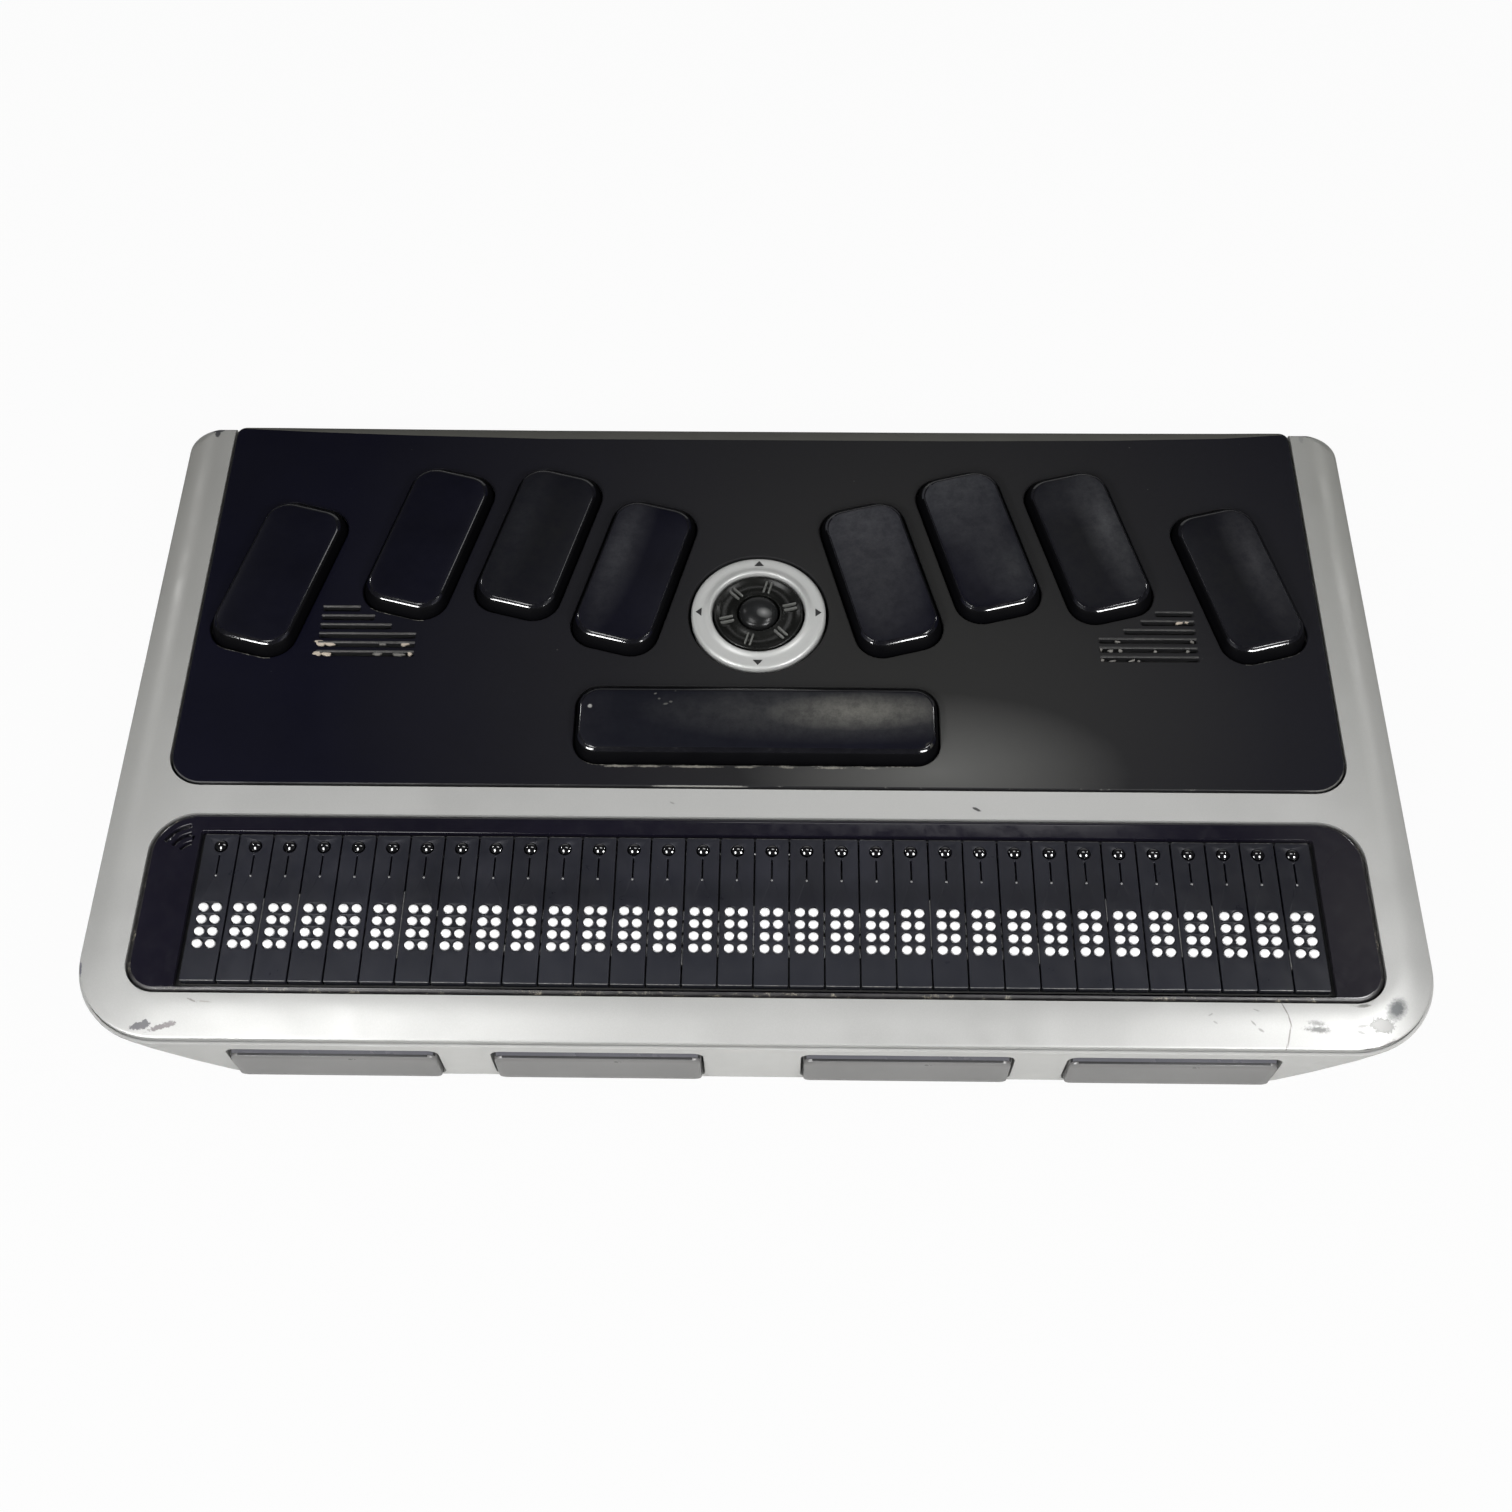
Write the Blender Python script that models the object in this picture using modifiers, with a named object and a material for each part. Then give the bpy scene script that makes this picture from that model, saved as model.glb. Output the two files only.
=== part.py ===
"""Braille notetaker: a slab with eight braille keys, a navigation wheel and a line of 32 braille cells.

Metres, +Z up. The front edge with the thumb keys faces -Y, +X is to the right, and z = 0 is under the feet.
"""
import math

import bmesh
import bpy
from mathutils import Matrix

COLLECTION_NAME = "braille_notetaker"

# Clearances
FIT_GAP = 0.0003
RUN_GAP = 0.0004
STOP_GAP = 0.0002
CUT_OVERRUN = 0.0020
MERGE_DISTANCE = 0.00001

# Whole body
BODY_WIDTH = 0.2438
BODY_DEPTH = 0.1394
FRONT_CORNER = 0.0165
REAR_CORNER = 0.0062
CORNER_STEPS = 6

# Bottom case, a tub whose ends draw in towards the table
CASE_BOTTOM = 0.0005
CASE_RIM = 0.0154
CASE_WALL = 0.0020
CASE_FLOOR = 0.0021
CASE_SIDE_TAPER = 0.0152
CASE_REAR_TAPER = 0.0015
CASE_FRONT_TAPER = 0.0004
CASE_HEIGHT_SHARES = (0.0, 0.05, 0.35, 0.70, 0.96, 1.0)
CASE_TAPER_SHARES = (1.0, 0.88, 0.54, 0.20, 0.0, 0.0)

# Top frame, a plate whose outer edge rolls over
FRAME_THICKNESS = 0.0015
FRAME_SETBACK = 0.0008
FRAME_SIDE_SETBACK = 0.0002
FRAME_ROLL_FRONT = 0.0060
FRAME_ROLL_SIDE = 0.0026
FRAME_ROLL_REAR = 0.0009
FRAME_ROLL_DROP = 0.0011
FRAME_ROLL_SHARES = ((0.0, 0.0), (0.12, 0.42), (0.35, 0.74), (0.65, 0.93), (1.0, 1.0))
BAND_DEPTH = 0.0086
CROSSBAR_DEPTH = 0.0065

# Flanges under the frame that carry the bezel and the keyboard panel
FLANGE_THICKNESS = 0.0014
FLANGE_LAP = 0.0020
EDGE_CHAMFER = 0.0006

# Braille bezel
BEZEL_SIDE_MARGIN = 0.0093
BEZEL_DEPTH = 0.0359
BEZEL_REAR_CORNER = 0.0080
BEZEL_FRONT_CORNER = 0.0058
BEZEL_PROUD = 0.0001
WINDOW_SIDE_GAP = 0.0010
WINDOW_REAR_GAP = 0.0006
WINDOW_FRONT_GAP = 0.0016
WINDOW_CORNER = 0.0008
MIC_CENTRE_INSET_X = 0.0081
MIC_CENTRE_INSET_Y = 0.0082
MIC_RADII = (0.0027, 0.0045, 0.0063)
MIC_SLOT_WIDTH = 0.0009
MIC_START_ANGLE = math.radians(100.0)
MIC_SWEEP = math.radians(52.0)
MIC_STEPS = 5

# Braille line
CELL_PITCH = 0.00642
CELL_END_MARGIN = 0.0098
DOT_PITCH = 0.00242
DOT_ROWS = 4
CAP_INSET = 0.0029
CAP_DEPTH = 0.0295
CAP_THICKNESS = 0.0016
CAP_DROP = 0.0003
CAP_SEAM = 0.00022
CAP_BRIDGE = 0.0008
PIN_WIDTH = 0.0015
PIN_CLEARANCE = 0.00025
PIN_RAISE = 0.0007
PIN_FROM_BEZEL = 0.0138
RAIL_WIDTH = 0.0019
RAIL_THICKNESS = 0.0010
ROUTING_RADIUS = 0.00105
ROUTING_CLEARANCE = 0.0002
ROUTING_RISE = 0.0004
ROUTING_INSET = 0.0025
ROUTING_SIDES = 8
ROUTING_RAIL_WIDTH = 0.0026
REED_THICKNESS = 0.0007
REED_LEVELS = 4
REED_BLOCK_DEPTH = 0.0060
BACKPLANE_THICKNESS = 0.0016
CELL_FRAME_WALL = 0.0009

# Keyboard panel
ARM_WIDTH = 0.0103
PANEL_CORNER = 0.0066
PANEL_REAR_CORNER = 0.0030
PANEL_REAR_INSET = 0.0003

# Braille keys and space bar
KEY_WIDTH = 0.0164
KEY_LENGTH = 0.0366
KEY_CORNER = 0.0050
KEY_CORNER_STEPS = 3
KEY_SLOPE = 0.0009
KEY_ROUND = 0.0006
KEY_RISE = 0.0026
KEY_LEAN = math.radians(15.0)
KEY_TRAVEL = 0.0015
KEY_FLANGE_LAP = 0.0007
KEY_FLANGE_THICKNESS = 0.0012
KEY_INDEX_X = 0.0249
KEY_MIDDLE_STEP = 0.02005
KEY_RING_STEP = 0.0225
KEY_LITTLE_STEP = 0.0295
KEY_INDEX_Y = 0.0495
KEY_MIDDLE_Y = 0.0578
KEY_LITTLE_Y = 0.0486
SPACE_WIDTH = 0.0698
SPACE_DEPTH = 0.0168
SPACE_CORNER = 0.0045
SPACE_Y = 0.0145

# Navigation ring, scroll wheel and select button
NAV_Y = 0.0407
NAV_OUTER = 0.0137
NAV_INNER = 0.0096
NAV_RISE = 0.0010
NAV_DEPTH = 0.0032
NAV_SEGMENTS = 40
NAV_EDGE = 0.0005
NAV_RIDGE_SHARE = 0.30
CARRIER_INSET = 0.0007
CARRIER_THICKNESS = 0.0014
CARRIER_DROP = 0.0009
WHEEL_RISE = 0.0005
WHEEL_DISH = 0.0005
WHEEL_DEPTH = 0.0030
WHEEL_HUB_RADIUS = 0.0062
WHEEL_HUB_DEPTH = 0.0044
WHEEL_SEGMENTS = 36
RIB_PAIRS = 6
RIB_LENGTH = 0.0026
RIB_WIDTH = 0.0004
RIB_SPACING = 0.0009
RIB_RISE = 0.0003
RIB_START_ANGLE = math.radians(74.0)
SELECT_RADIUS = 0.0039
SELECT_RISE = 0.0016
SELECT_TRAVEL = 0.0008
SELECT_SEGMENTS = 20
SELECT_DOME_SHARES = ((0.5, 0.17), (0.85, 0.52))
ENCODER_OUTER = 0.0080
ENCODER_HEIGHT = 0.0026

# Speaker grilles
GRILLE_OUTER_X = 0.0875
GRILLE_LENGTHS = (0.0076, 0.0108, 0.0146, 0.0199, 0.0199, 0.0199)
GRILLE_SLOT_WIDTH = 0.0009
GRILLE_PITCH = 0.00215
GRILLE_Y = 0.0411
SPEAKER_WIDTH = 0.0190
SPEAKER_DEPTH = 0.0088
SPEAKER_HEIGHT = 0.0025
SPEAKER_Y = 0.0329
SPEAKER_CORNER = 0.0020

# Thumb keys in the front wall
THUMB_WIDTH = 0.0375
THUMB_HEIGHT = 0.0112
THUMB_INNER_X = 0.02765
THUMB_OUTER_X = 0.0752
THUMB_BOTTOM = 0.0014
THUMB_DEPTH = 0.0062
THUMB_TRAVEL = 0.0010
THUMB_FLANGE_LAP = 0.0008
THUMB_FLANGE_THICKNESS = 0.0012
THUMB_CHAMFER = 0.0008
THUMB_PROUD = 0.0005

# Boards, battery and door
BOARD_THICKNESS = 0.0012
KEY_BOARD_SIDE_GAP = 0.0129
KEY_BOARD_REAR_GAP = 0.0137
KEY_BOARD_FRONT_GAP = 0.0022
KEY_BOARD_CORNER = 0.0040
KEY_MAT_THICKNESS = 0.0005
THUMB_BOARD_HEIGHT = 0.0080
BATTERY_WIDTH = 0.1000
BATTERY_DEPTH = 0.0560
BATTERY_HEIGHT = 0.0055
BATTERY_X = -0.0300
BATTERY_Y = 0.0150
BATTERY_CORNER = 0.0015
DOOR_LAP = 0.0030
DOOR_CORNER = 0.0040
MAIN_BOARD_WIDTH = 0.0640
MAIN_BOARD_DEPTH = 0.0560
MAIN_BOARD_X = 0.0590
MAIN_BOARD_Y = 0.0230
MAIN_BOARD_LIFT = 0.0010
MIC_CAPSULE_RADIUS = 0.0032
MIC_CAPSULE_HEIGHT = 0.0022
MIC_CAPSULE_INSET = 0.0050

# Ribs and screw bosses of the bottom case
RIB_WALL = 0.0050
BOSS_RADIUS = 0.0034
BOSS_SIDE_INSET = 0.0184
BOSS_FRONT_GAP = 0.0062
BOSS_REAR_INSET = 0.0097
SCREW_SHAFT_RADIUS = 0.0010
SCREW_HEAD_RADIUS = 0.0022
SCREW_HEAD_HEIGHT = 0.0011
SCREW_SIDES = 12

# Feet
FOOT_RADIUS = 0.0050
FOOT_SIDE_INSET = 0.0339
FOOT_FRONT_INSET = 0.0197
FOOT_REAR_INSET = 0.0157
FOOT_SEAT = 0.0006
FOOT_SIDES = 20

# Sockets and switch in the rear wall
SOCKET_BOTTOM = 0.0042
SOCKET_BORE_SHARE = 0.8
DC_X = -0.0950
DC_SIZE = (0.0090, 0.0095, 0.0080)
DC_BORE = 0.0030
NETWORK_X = -0.0800
NETWORK_SIZE = (0.0156, 0.0100, 0.0092)
NETWORK_CAVITY = (0.0118, 0.0080, 0.0068)
USB_X = (-0.0380, -0.0180)
USB_SIZE = (0.0142, 0.0100, 0.0064)
USB_CAVITY = (0.0126, 0.0084, 0.0050)
AUDIO_X = (0.0300, 0.0450)
AUDIO_SIZE = (0.0080, 0.0100, 0.0064)
AUDIO_BORE = 0.0018
CARD_X = 0.0690
CARD_SIZE = (0.0280, 0.0100, 0.0040)
CARD_CAVITY = (0.0246, 0.0084, 0.0024)
SWITCH_X = 0.0940
SWITCH_Z = 0.0078
SWITCH_WIDTH = 0.0050
SWITCH_HEIGHT = 0.0028
SWITCH_TIP_INSET = 0.0002
SWITCH_FLANGE_THICKNESS = 0.0012
SWITCH_TRAVEL = 0.0040
SWITCH_FLANGE_LAP = 0.0008
SWITCH_HOUSING_DEPTH = 0.0040

# Heights worked out from the sizes above
DECK_TOP = CASE_RIM + FIT_GAP + FRAME_THICKNESS
FLOOR_TOP = CASE_BOTTOM + CASE_FLOOR
FLANGE_TOP = CASE_RIM
FLANGE_LOW = FLANGE_TOP - FLANGE_THICKNESS
CAP_TOP = DECK_TOP - CAP_DROP
CAP_LOW = CAP_TOP - CAP_THICKNESS
RAIL_TOP = CAP_LOW - FIT_GAP
KEY_FLANGE_TOP = FLANGE_LOW - FIT_GAP
KEY_FLANGE_LOW = KEY_FLANGE_TOP - KEY_FLANGE_THICKNESS
KEY_MAT_LOW = KEY_FLANGE_LOW - KEY_TRAVEL - STOP_GAP - KEY_MAT_THICKNESS
KEY_BOARD_TOP = KEY_MAT_LOW - FIT_GAP
SELECT_LOW = KEY_BOARD_TOP + SELECT_TRAVEL + RUN_GAP
RIB_TOP = FLANGE_LOW - FIT_GAP
NAV_TOP = DECK_TOP + NAV_RISE
NAV_LOW = NAV_TOP - NAV_DEPTH
CARRIER_TOP = NAV_LOW - CARRIER_DROP
CARRIER_LOW = CARRIER_TOP - CARRIER_THICKNESS
WHEEL_TOP = DECK_TOP + WHEEL_RISE
WHEEL_LOW = WHEEL_TOP - WHEEL_DEPTH

# Places worked out from the sizes above
FRONT_Y = -BODY_DEPTH / 2
REAR_Y = BODY_DEPTH / 2
SIDE_X = BODY_WIDTH / 2
PANEL_WIDTH = BODY_WIDTH - 2 * ARM_WIDTH
BEZEL_WIDTH = BODY_WIDTH - 2 * BEZEL_SIDE_MARGIN
BEZEL_FRONT = FRONT_Y + BAND_DEPTH
BEZEL_REAR = BEZEL_FRONT + BEZEL_DEPTH
PANEL_FRONT = BEZEL_REAR + CROSSBAR_DEPTH
PANEL_REAR = REAR_Y - PANEL_REAR_INSET
CAP_FRONT = BEZEL_FRONT + CAP_INSET
CAP_REAR = CAP_FRONT + CAP_DEPTH
CELL_COUNT = math.floor((BEZEL_WIDTH - 2 * CELL_END_MARGIN) / CELL_PITCH)
LINE_WIDTH = CELL_COUNT * CELL_PITCH
PIN_Y = BEZEL_FRONT + PIN_FROM_BEZEL
ROUTING_Y = CAP_REAR - ROUTING_INSET
BOSS_X = SIDE_X - BOSS_SIDE_INSET
BOSS_FRONT_Y = PANEL_FRONT + BOSS_FRONT_GAP
BOSS_REAR_Y = REAR_Y - BOSS_REAR_INSET
FOOT_X = SIDE_X - FOOT_SIDE_INSET
FOOT_FRONT_Y = FRONT_Y + FOOT_FRONT_INSET
FOOT_REAR_Y = REAR_Y - FOOT_REAR_INSET
NAV_CENTRE_Y = PANEL_FRONT + NAV_Y
WHEEL_RADIUS = NAV_INNER - RUN_GAP
WHEEL_BORE = SELECT_RADIUS + RUN_GAP
THUMB_FACE = FRONT_Y - THUMB_PROUD
THUMB_REAR = THUMB_FACE + THUMB_DEPTH
WALL_INNER_FRONT = FRONT_Y + CASE_WALL + CASE_FRONT_TAPER
WALL_INNER_REAR = REAR_Y - CASE_WALL - CASE_REAR_TAPER
SWITCH_FLANGE_REAR = WALL_INNER_REAR - FIT_GAP
SOCKET_FACE = REAR_Y - CASE_REAR_TAPER
BACKPLANE_LOW = FLOOR_TOP + FIT_GAP
CELL_FRAME_LOW = BACKPLANE_LOW + BACKPLANE_THICKNESS + FIT_GAP


# Scene helpers


def clear_scene():
    for obj in list(bpy.data.objects):
        bpy.data.objects.remove(obj, do_unlink=True)


def make_collection(name):
    collection = bpy.data.collections.new(name)
    bpy.context.scene.collection.children.link(collection)
    return collection


def material(name, colour, roughness, metallic=0.0):
    made = bpy.data.materials.get(name)
    if made is None:
        made = bpy.data.materials.new(name)
        made.use_nodes = True
        shader = made.node_tree.nodes["Principled BSDF"]
        shader.inputs["Base Color"].default_value = (*colour, 1.0)
        shader.inputs["Roughness"].default_value = roughness
        shader.inputs["Metallic"].default_value = metallic
    return made


def place_mesh(name, mesh):
    obj = bpy.data.objects.new(name, mesh)
    bpy.data.collections[COLLECTION_NAME].objects.link(obj)
    return obj


def from_bmesh(name, bm):
    mesh = bpy.data.meshes.new(name)
    bm.to_mesh(mesh)
    bm.free()
    return place_mesh(name, mesh)


def baked(obj):
    """The object's evaluated mesh takes the place of its curve or of its modifiers."""
    depsgraph = bpy.context.evaluated_depsgraph_get()
    mesh = bpy.data.meshes.new_from_object(obj.evaluated_get(depsgraph))
    name = obj.name
    bpy.data.objects.remove(obj, do_unlink=True)
    return place_mesh(name, mesh)


def boolean(obj, cutter, operation):
    step = obj.modifiers.new(operation.lower(), "BOOLEAN")
    step.operation = operation
    step.solver = "EXACT"
    step.object = cutter
    result = baked(obj)
    bpy.data.objects.remove(cutter, do_unlink=True)
    return result


def cut(obj, cutter):
    return boolean(obj, cutter, "DIFFERENCE")


def join(obj, other):
    return boolean(obj, other, "UNION")


def gather(name, pieces):
    """Separate closed shapes as one mesh, to cut or join them in a single step."""
    bm = bmesh.new()
    for piece in pieces:
        bm.from_mesh(piece.data)
        mesh = piece.data
        bpy.data.objects.remove(piece, do_unlink=True)
        bpy.data.meshes.remove(mesh)
    return from_bmesh(name, bm)


def shade_round(obj, angle=math.radians(40.0)):
    obj.data.shade_smooth()
    obj.data.set_sharp_from_angle(angle=angle)


# Outlines, as lists of points in the plane


def rounded_loop(left, right, front, rear, radii, steps=CORNER_STEPS):
    """A rectangle with round corners; the radii run front left, front right, rear right, rear left."""
    corners = (
        (left, front, 1.0, 1.0, math.pi),
        (right, front, -1.0, 1.0, 1.5 * math.pi),
        (right, rear, -1.0, -1.0, 0.0),
        (left, rear, 1.0, -1.0, 0.5 * math.pi),
    )
    points = []
    for (x, y, side_x, side_y, start), radius in zip(corners, radii):
        centre_x = x + side_x * radius
        centre_y = y + side_y * radius
        for step in range(steps + 1):
            angle = start + 0.5 * math.pi * step / steps
            points.append((centre_x + radius * math.cos(angle), centre_y + radius * math.sin(angle)))
    return points


def centred_loop(width, depth, radius, steps=CORNER_STEPS):
    return rounded_loop(-width / 2, width / 2, -depth / 2, depth / 2, (radius,) * 4, steps)


def regular_loop(centre_x, centre_y, radius, sides):
    angles = [2.0 * math.pi * k / sides for k in range(sides)]
    return [(centre_x + radius * math.cos(a), centre_y + radius * math.sin(a)) for a in angles]


def square_loop(centre_x, centre_y, width):
    half = width / 2
    corners = ((-half, -half), (half, -half), (half, half), (-half, half))
    return [(centre_x + x, centre_y + y) for x, y in corners]


def arc_band(centre_x, centre_y, radius, width, start, sweep, steps):
    """The outline of a slot that follows an arc."""
    inner = []
    outer = []
    for step in range(steps + 1):
        angle = start + sweep * step / steps
        cos = math.cos(angle)
        sin = math.sin(angle)
        near = radius - width / 2
        far = radius + width / 2
        inner.append((centre_x + near * cos, centre_y + near * sin))
        outer.append((centre_x + far * cos, centre_y + far * sin))
    return inner + outer[::-1]


# Solids


def outline_solid(name, loops, low, high):
    """A flat outline, with any further loops as holes in it, raised between two heights."""
    curve = bpy.data.curves.new(name, "CURVE")
    curve.dimensions = "2D"
    curve.fill_mode = "BOTH"
    curve.extrude = (high - low) / 2
    for loop in loops:
        spline = curve.splines.new("POLY")
        spline.points.add(len(loop) - 1)
        for point, (x, y) in zip(spline.points, loop):
            point.co = (x, y, 0.0, 1.0)
        spline.use_cyclic_u = True
    obj = baked(place_mesh(name, curve))
    bm = bmesh.new()
    bm.from_mesh(obj.data)
    bmesh.ops.remove_doubles(bm, verts=bm.verts, dist=MERGE_DISTANCE)
    bmesh.ops.translate(bm, verts=bm.verts, vec=(0.0, 0.0, (high + low) / 2))
    bmesh.ops.recalc_face_normals(bm, faces=bm.faces)
    bm.to_mesh(obj.data)
    bm.free()
    return obj


def box(name, centre, size):
    bm = bmesh.new()
    bmesh.ops.create_cube(bm, size=1.0)
    bmesh.ops.scale(bm, verts=bm.verts, vec=size)
    bmesh.ops.translate(bm, verts=bm.verts, vec=centre)
    return from_bmesh(name, bm)


def span_box(name, x_span, y_span, z_span):
    spans = (x_span, y_span, z_span)
    centre = [sum(span) / 2 for span in spans]
    size = [span[1] - span[0] for span in spans]
    return box(name, centre, size)


def rod(name, centre, radius, low, high, sides):
    bm = bmesh.new()
    bmesh.ops.create_cone(
        bm,
        cap_ends=True,
        segments=sides,
        radius1=radius,
        radius2=radius,
        depth=high - low,
    )
    bmesh.ops.translate(bm, verts=bm.verts, vec=(centre[0], centre[1], (high + low) / 2))
    return from_bmesh(name, bm)


def loft(name, rings):
    """A closed skin through rings that have the same number of points, each a list of (x, y, z)."""
    bm = bmesh.new()
    rows = [[bm.verts.new(point) for point in ring] for ring in rings]
    count = len(rows[0])
    for lower, upper in zip(rows, rows[1:]):
        for k in range(count):
            after = (k + 1) % count
            bm.faces.new((lower[k], lower[after], upper[after], upper[k]))
    bm.faces.new(rows[0][::-1])
    bm.faces.new(rows[-1])
    bmesh.ops.recalc_face_normals(bm, faces=bm.faces)
    return from_bmesh(name, bm)


def turned(name, profile, steps):
    """A closed profile of (radius, height) points, run down its outer side, turned about the Z axis."""
    bm = bmesh.new()
    points = [bm.verts.new((radius, 0.0, height)) for radius, height in profile]
    on_axis = profile[0][0] == 0.0 and profile[-1][0] == 0.0
    for first, second in zip(points, points[1:]):
        bm.edges.new((first, second))
    if not on_axis:
        bm.edges.new((points[-1], points[0]))
    obj = from_bmesh(name, bm)
    screw = obj.modifiers.new("turn", "SCREW")
    screw.axis = "Z"
    screw.steps = steps
    screw.render_steps = steps
    screw.use_merge_vertices = True
    screw.merge_threshold = MERGE_DISTANCE
    obj = baked(obj)
    bm = bmesh.new()
    bm.from_mesh(obj.data)
    bmesh.ops.remove_doubles(bm, verts=bm.verts, dist=MERGE_DISTANCE)
    bmesh.ops.recalc_face_normals(bm, faces=bm.faces)
    bm.to_mesh(obj.data)
    bm.free()
    return obj


def chamfer_top(obj, height, width, segments=1):
    """Bevels the outline edges that lie at the given height."""
    bm = bmesh.new()
    bm.from_mesh(obj.data)
    bmesh.ops.dissolve_limit(bm, angle_limit=math.radians(1.0), verts=bm.verts, edges=bm.edges)
    edges = [
        edge
        for edge in bm.edges
        if all(abs(vert.co.z - height) < MERGE_DISTANCE for vert in edge.verts)
        and edge.calc_face_angle(0.0) > math.radians(60.0)
    ]
    bmesh.ops.bevel(bm, geom=edges, offset=width, segments=segments, profile=0.5, affect="EDGES")
    bm.to_mesh(obj.data)
    bm.free()
    return obj


def ring_at(loop, height):
    return [(x, y, height) for x, y in loop]


def turn_to_side(obj):
    """A solid drawn as (depth, height) and raised along Z is turned so that it runs along X."""
    obj.data.transform(Matrix(((0, 0, 1, 0), (1, 0, 0, 0), (0, 1, 0, 0), (0, 0, 0, 1))))
    return obj


def finish(obj, surface, location=(0.0, 0.0, 0.0), lean=0.0, round_angle=None):
    obj.data.materials.clear()
    obj.data.materials.append(surface)
    obj.location = location
    obj.rotation_euler = (0.0, 0.0, lean)
    if round_angle is not None:
        shade_round(obj, round_angle)
    return obj


# Finishes


def silver():
    return material("satin_silver", (0.50, 0.50, 0.50), 0.35, 0.6)


def case_grey():
    return material("case_grey", (0.58, 0.58, 0.55), 0.5)


def soft_black():
    return material("soft_touch_black", (0.012, 0.012, 0.014), 0.55)


def key_black():
    return material("key_black", (0.010, 0.010, 0.013), 0.3)


def gloss_black():
    return material("gloss_black", (0.010, 0.009, 0.016), 0.12)


def cap_grey():
    return material("cap_blue_grey", (0.030, 0.032, 0.045), 0.4)


def pin_white():
    return material("pin_white", (0.80, 0.80, 0.80), 0.3)


def thumb_grey():
    return material("thumb_grey", (0.22, 0.22, 0.22), 0.25)


def board_green():
    return material("board_green", (0.02, 0.12, 0.05), 0.45)


def steel():
    return material("steel", (0.60, 0.60, 0.60), 0.3, 1.0)


def rubber():
    return material("black_rubber", (0.02, 0.02, 0.02), 0.8)


def ceramic():
    return material("reed_ceramic", (0.45, 0.38, 0.24), 0.5)


def plain_black():
    return material("plain_black_plastic", (0.02, 0.02, 0.02), 0.5)


# Bottom case


def taper_at(height):
    """The share of the taper that is left at a height, read along the shares of the case's profile."""
    share = (height - CASE_BOTTOM) / (CASE_RIM - CASE_BOTTOM)
    share = min(max(share, 0.0), 1.0)
    spans = zip(CASE_HEIGHT_SHARES, CASE_HEIGHT_SHARES[1:], CASE_TAPER_SHARES, CASE_TAPER_SHARES[1:])
    for low, high, low_taper, high_taper in spans:
        if share <= high:
            return low_taper + (high_taper - low_taper) * (share - low) / (high - low)
    return CASE_TAPER_SHARES[-1]


def case_ring(height, inset):
    taper = taper_at(height)
    half = BODY_WIDTH / 2 - taper * CASE_SIDE_TAPER - inset
    front = FRONT_Y + taper * CASE_FRONT_TAPER + inset
    rear = REAR_Y - taper * CASE_REAR_TAPER - inset
    radii = (FRONT_CORNER - inset, FRONT_CORNER - inset, REAR_CORNER - inset, REAR_CORNER - inset)
    return ring_at(rounded_loop(-half, half, front, rear, radii), height)


def case_heights(low, high):
    levels = [CASE_BOTTOM + share * (CASE_RIM - CASE_BOTTOM) for share in CASE_HEIGHT_SHARES]
    return [low] + [level for level in levels if low < level < high] + [high]


def boss_places():
    return [(side * BOSS_X, y) for y in (BOSS_FRONT_Y, BOSS_REAR_Y) for side in (-1.0, 1.0)]


def foot_places():
    return [(side * FOOT_X, y) for y in (FOOT_FRONT_Y, FOOT_REAR_Y) for side in (-1.0, 1.0)]


def thumb_places():
    return [-THUMB_OUTER_X, -THUMB_INNER_X, THUMB_INNER_X, THUMB_OUTER_X]


def screw_head_low():
    return CASE_BOTTOM + FIT_GAP


def screw_head_top():
    return screw_head_low() + SCREW_HEAD_HEIGHT


def board_stand_places():
    inset = 2 * BOSS_RADIUS
    x_places = (MAIN_BOARD_X - MAIN_BOARD_WIDTH / 2 + inset, MAIN_BOARD_X + MAIN_BOARD_WIDTH / 2 - inset)
    y_places = (MAIN_BOARD_Y - MAIN_BOARD_DEPTH / 2 + inset, MAIN_BOARD_Y + MAIN_BOARD_DEPTH / 2 - inset)
    return [(x, y) for x in x_places for y in y_places]


def case_ribs():
    """The rib under the crossbar, the screw bosses and the stands of the main board."""
    rib_y = (BEZEL_REAR + PANEL_FRONT) / 2
    half = BODY_WIDTH / 2 - CASE_SIDE_TAPER
    root = FLOOR_TOP - CASE_FLOOR / 2
    pieces = [span_box("rib", (-half, half), (rib_y - RIB_WALL / 2, rib_y + RIB_WALL / 2), (root, RIB_TOP))]
    pieces += [rod("boss", place, BOSS_RADIUS, root, RIB_TOP, SCREW_SIDES) for place in boss_places()]
    stand_top = FLOOR_TOP + MAIN_BOARD_LIFT - FIT_GAP
    for place in board_stand_places():
        pieces.append(rod("stand", place, BOSS_RADIUS, root, stand_top, SCREW_SIDES))
    return gather("ribs", pieces)


def thumb_opening(x):
    half = THUMB_WIDTH / 2 + RUN_GAP
    low = THUMB_BOTTOM - FIT_GAP
    high = THUMB_BOTTOM + THUMB_HEIGHT + FIT_GAP
    face = (FRONT_Y - CUT_OVERRUN, THUMB_REAR + THUMB_TRAVEL + FIT_GAP)
    return span_box("thumb_opening", (x - half, x + half), face, (low, high))


def thumb_floor_relief(x):
    """Room in the floor for the key's flange, which is wider than its opening."""
    half = THUMB_WIDTH / 2 + RUN_GAP + THUMB_FLANGE_LAP + FIT_GAP
    span_y = (WALL_INNER_FRONT, THUMB_REAR + THUMB_TRAVEL + FIT_GAP)
    span_z = (THUMB_BOTTOM - FIT_GAP, FLOOR_TOP + FIT_GAP)
    return span_box("thumb_relief", (x - half, x + half), span_y, span_z)


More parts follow.
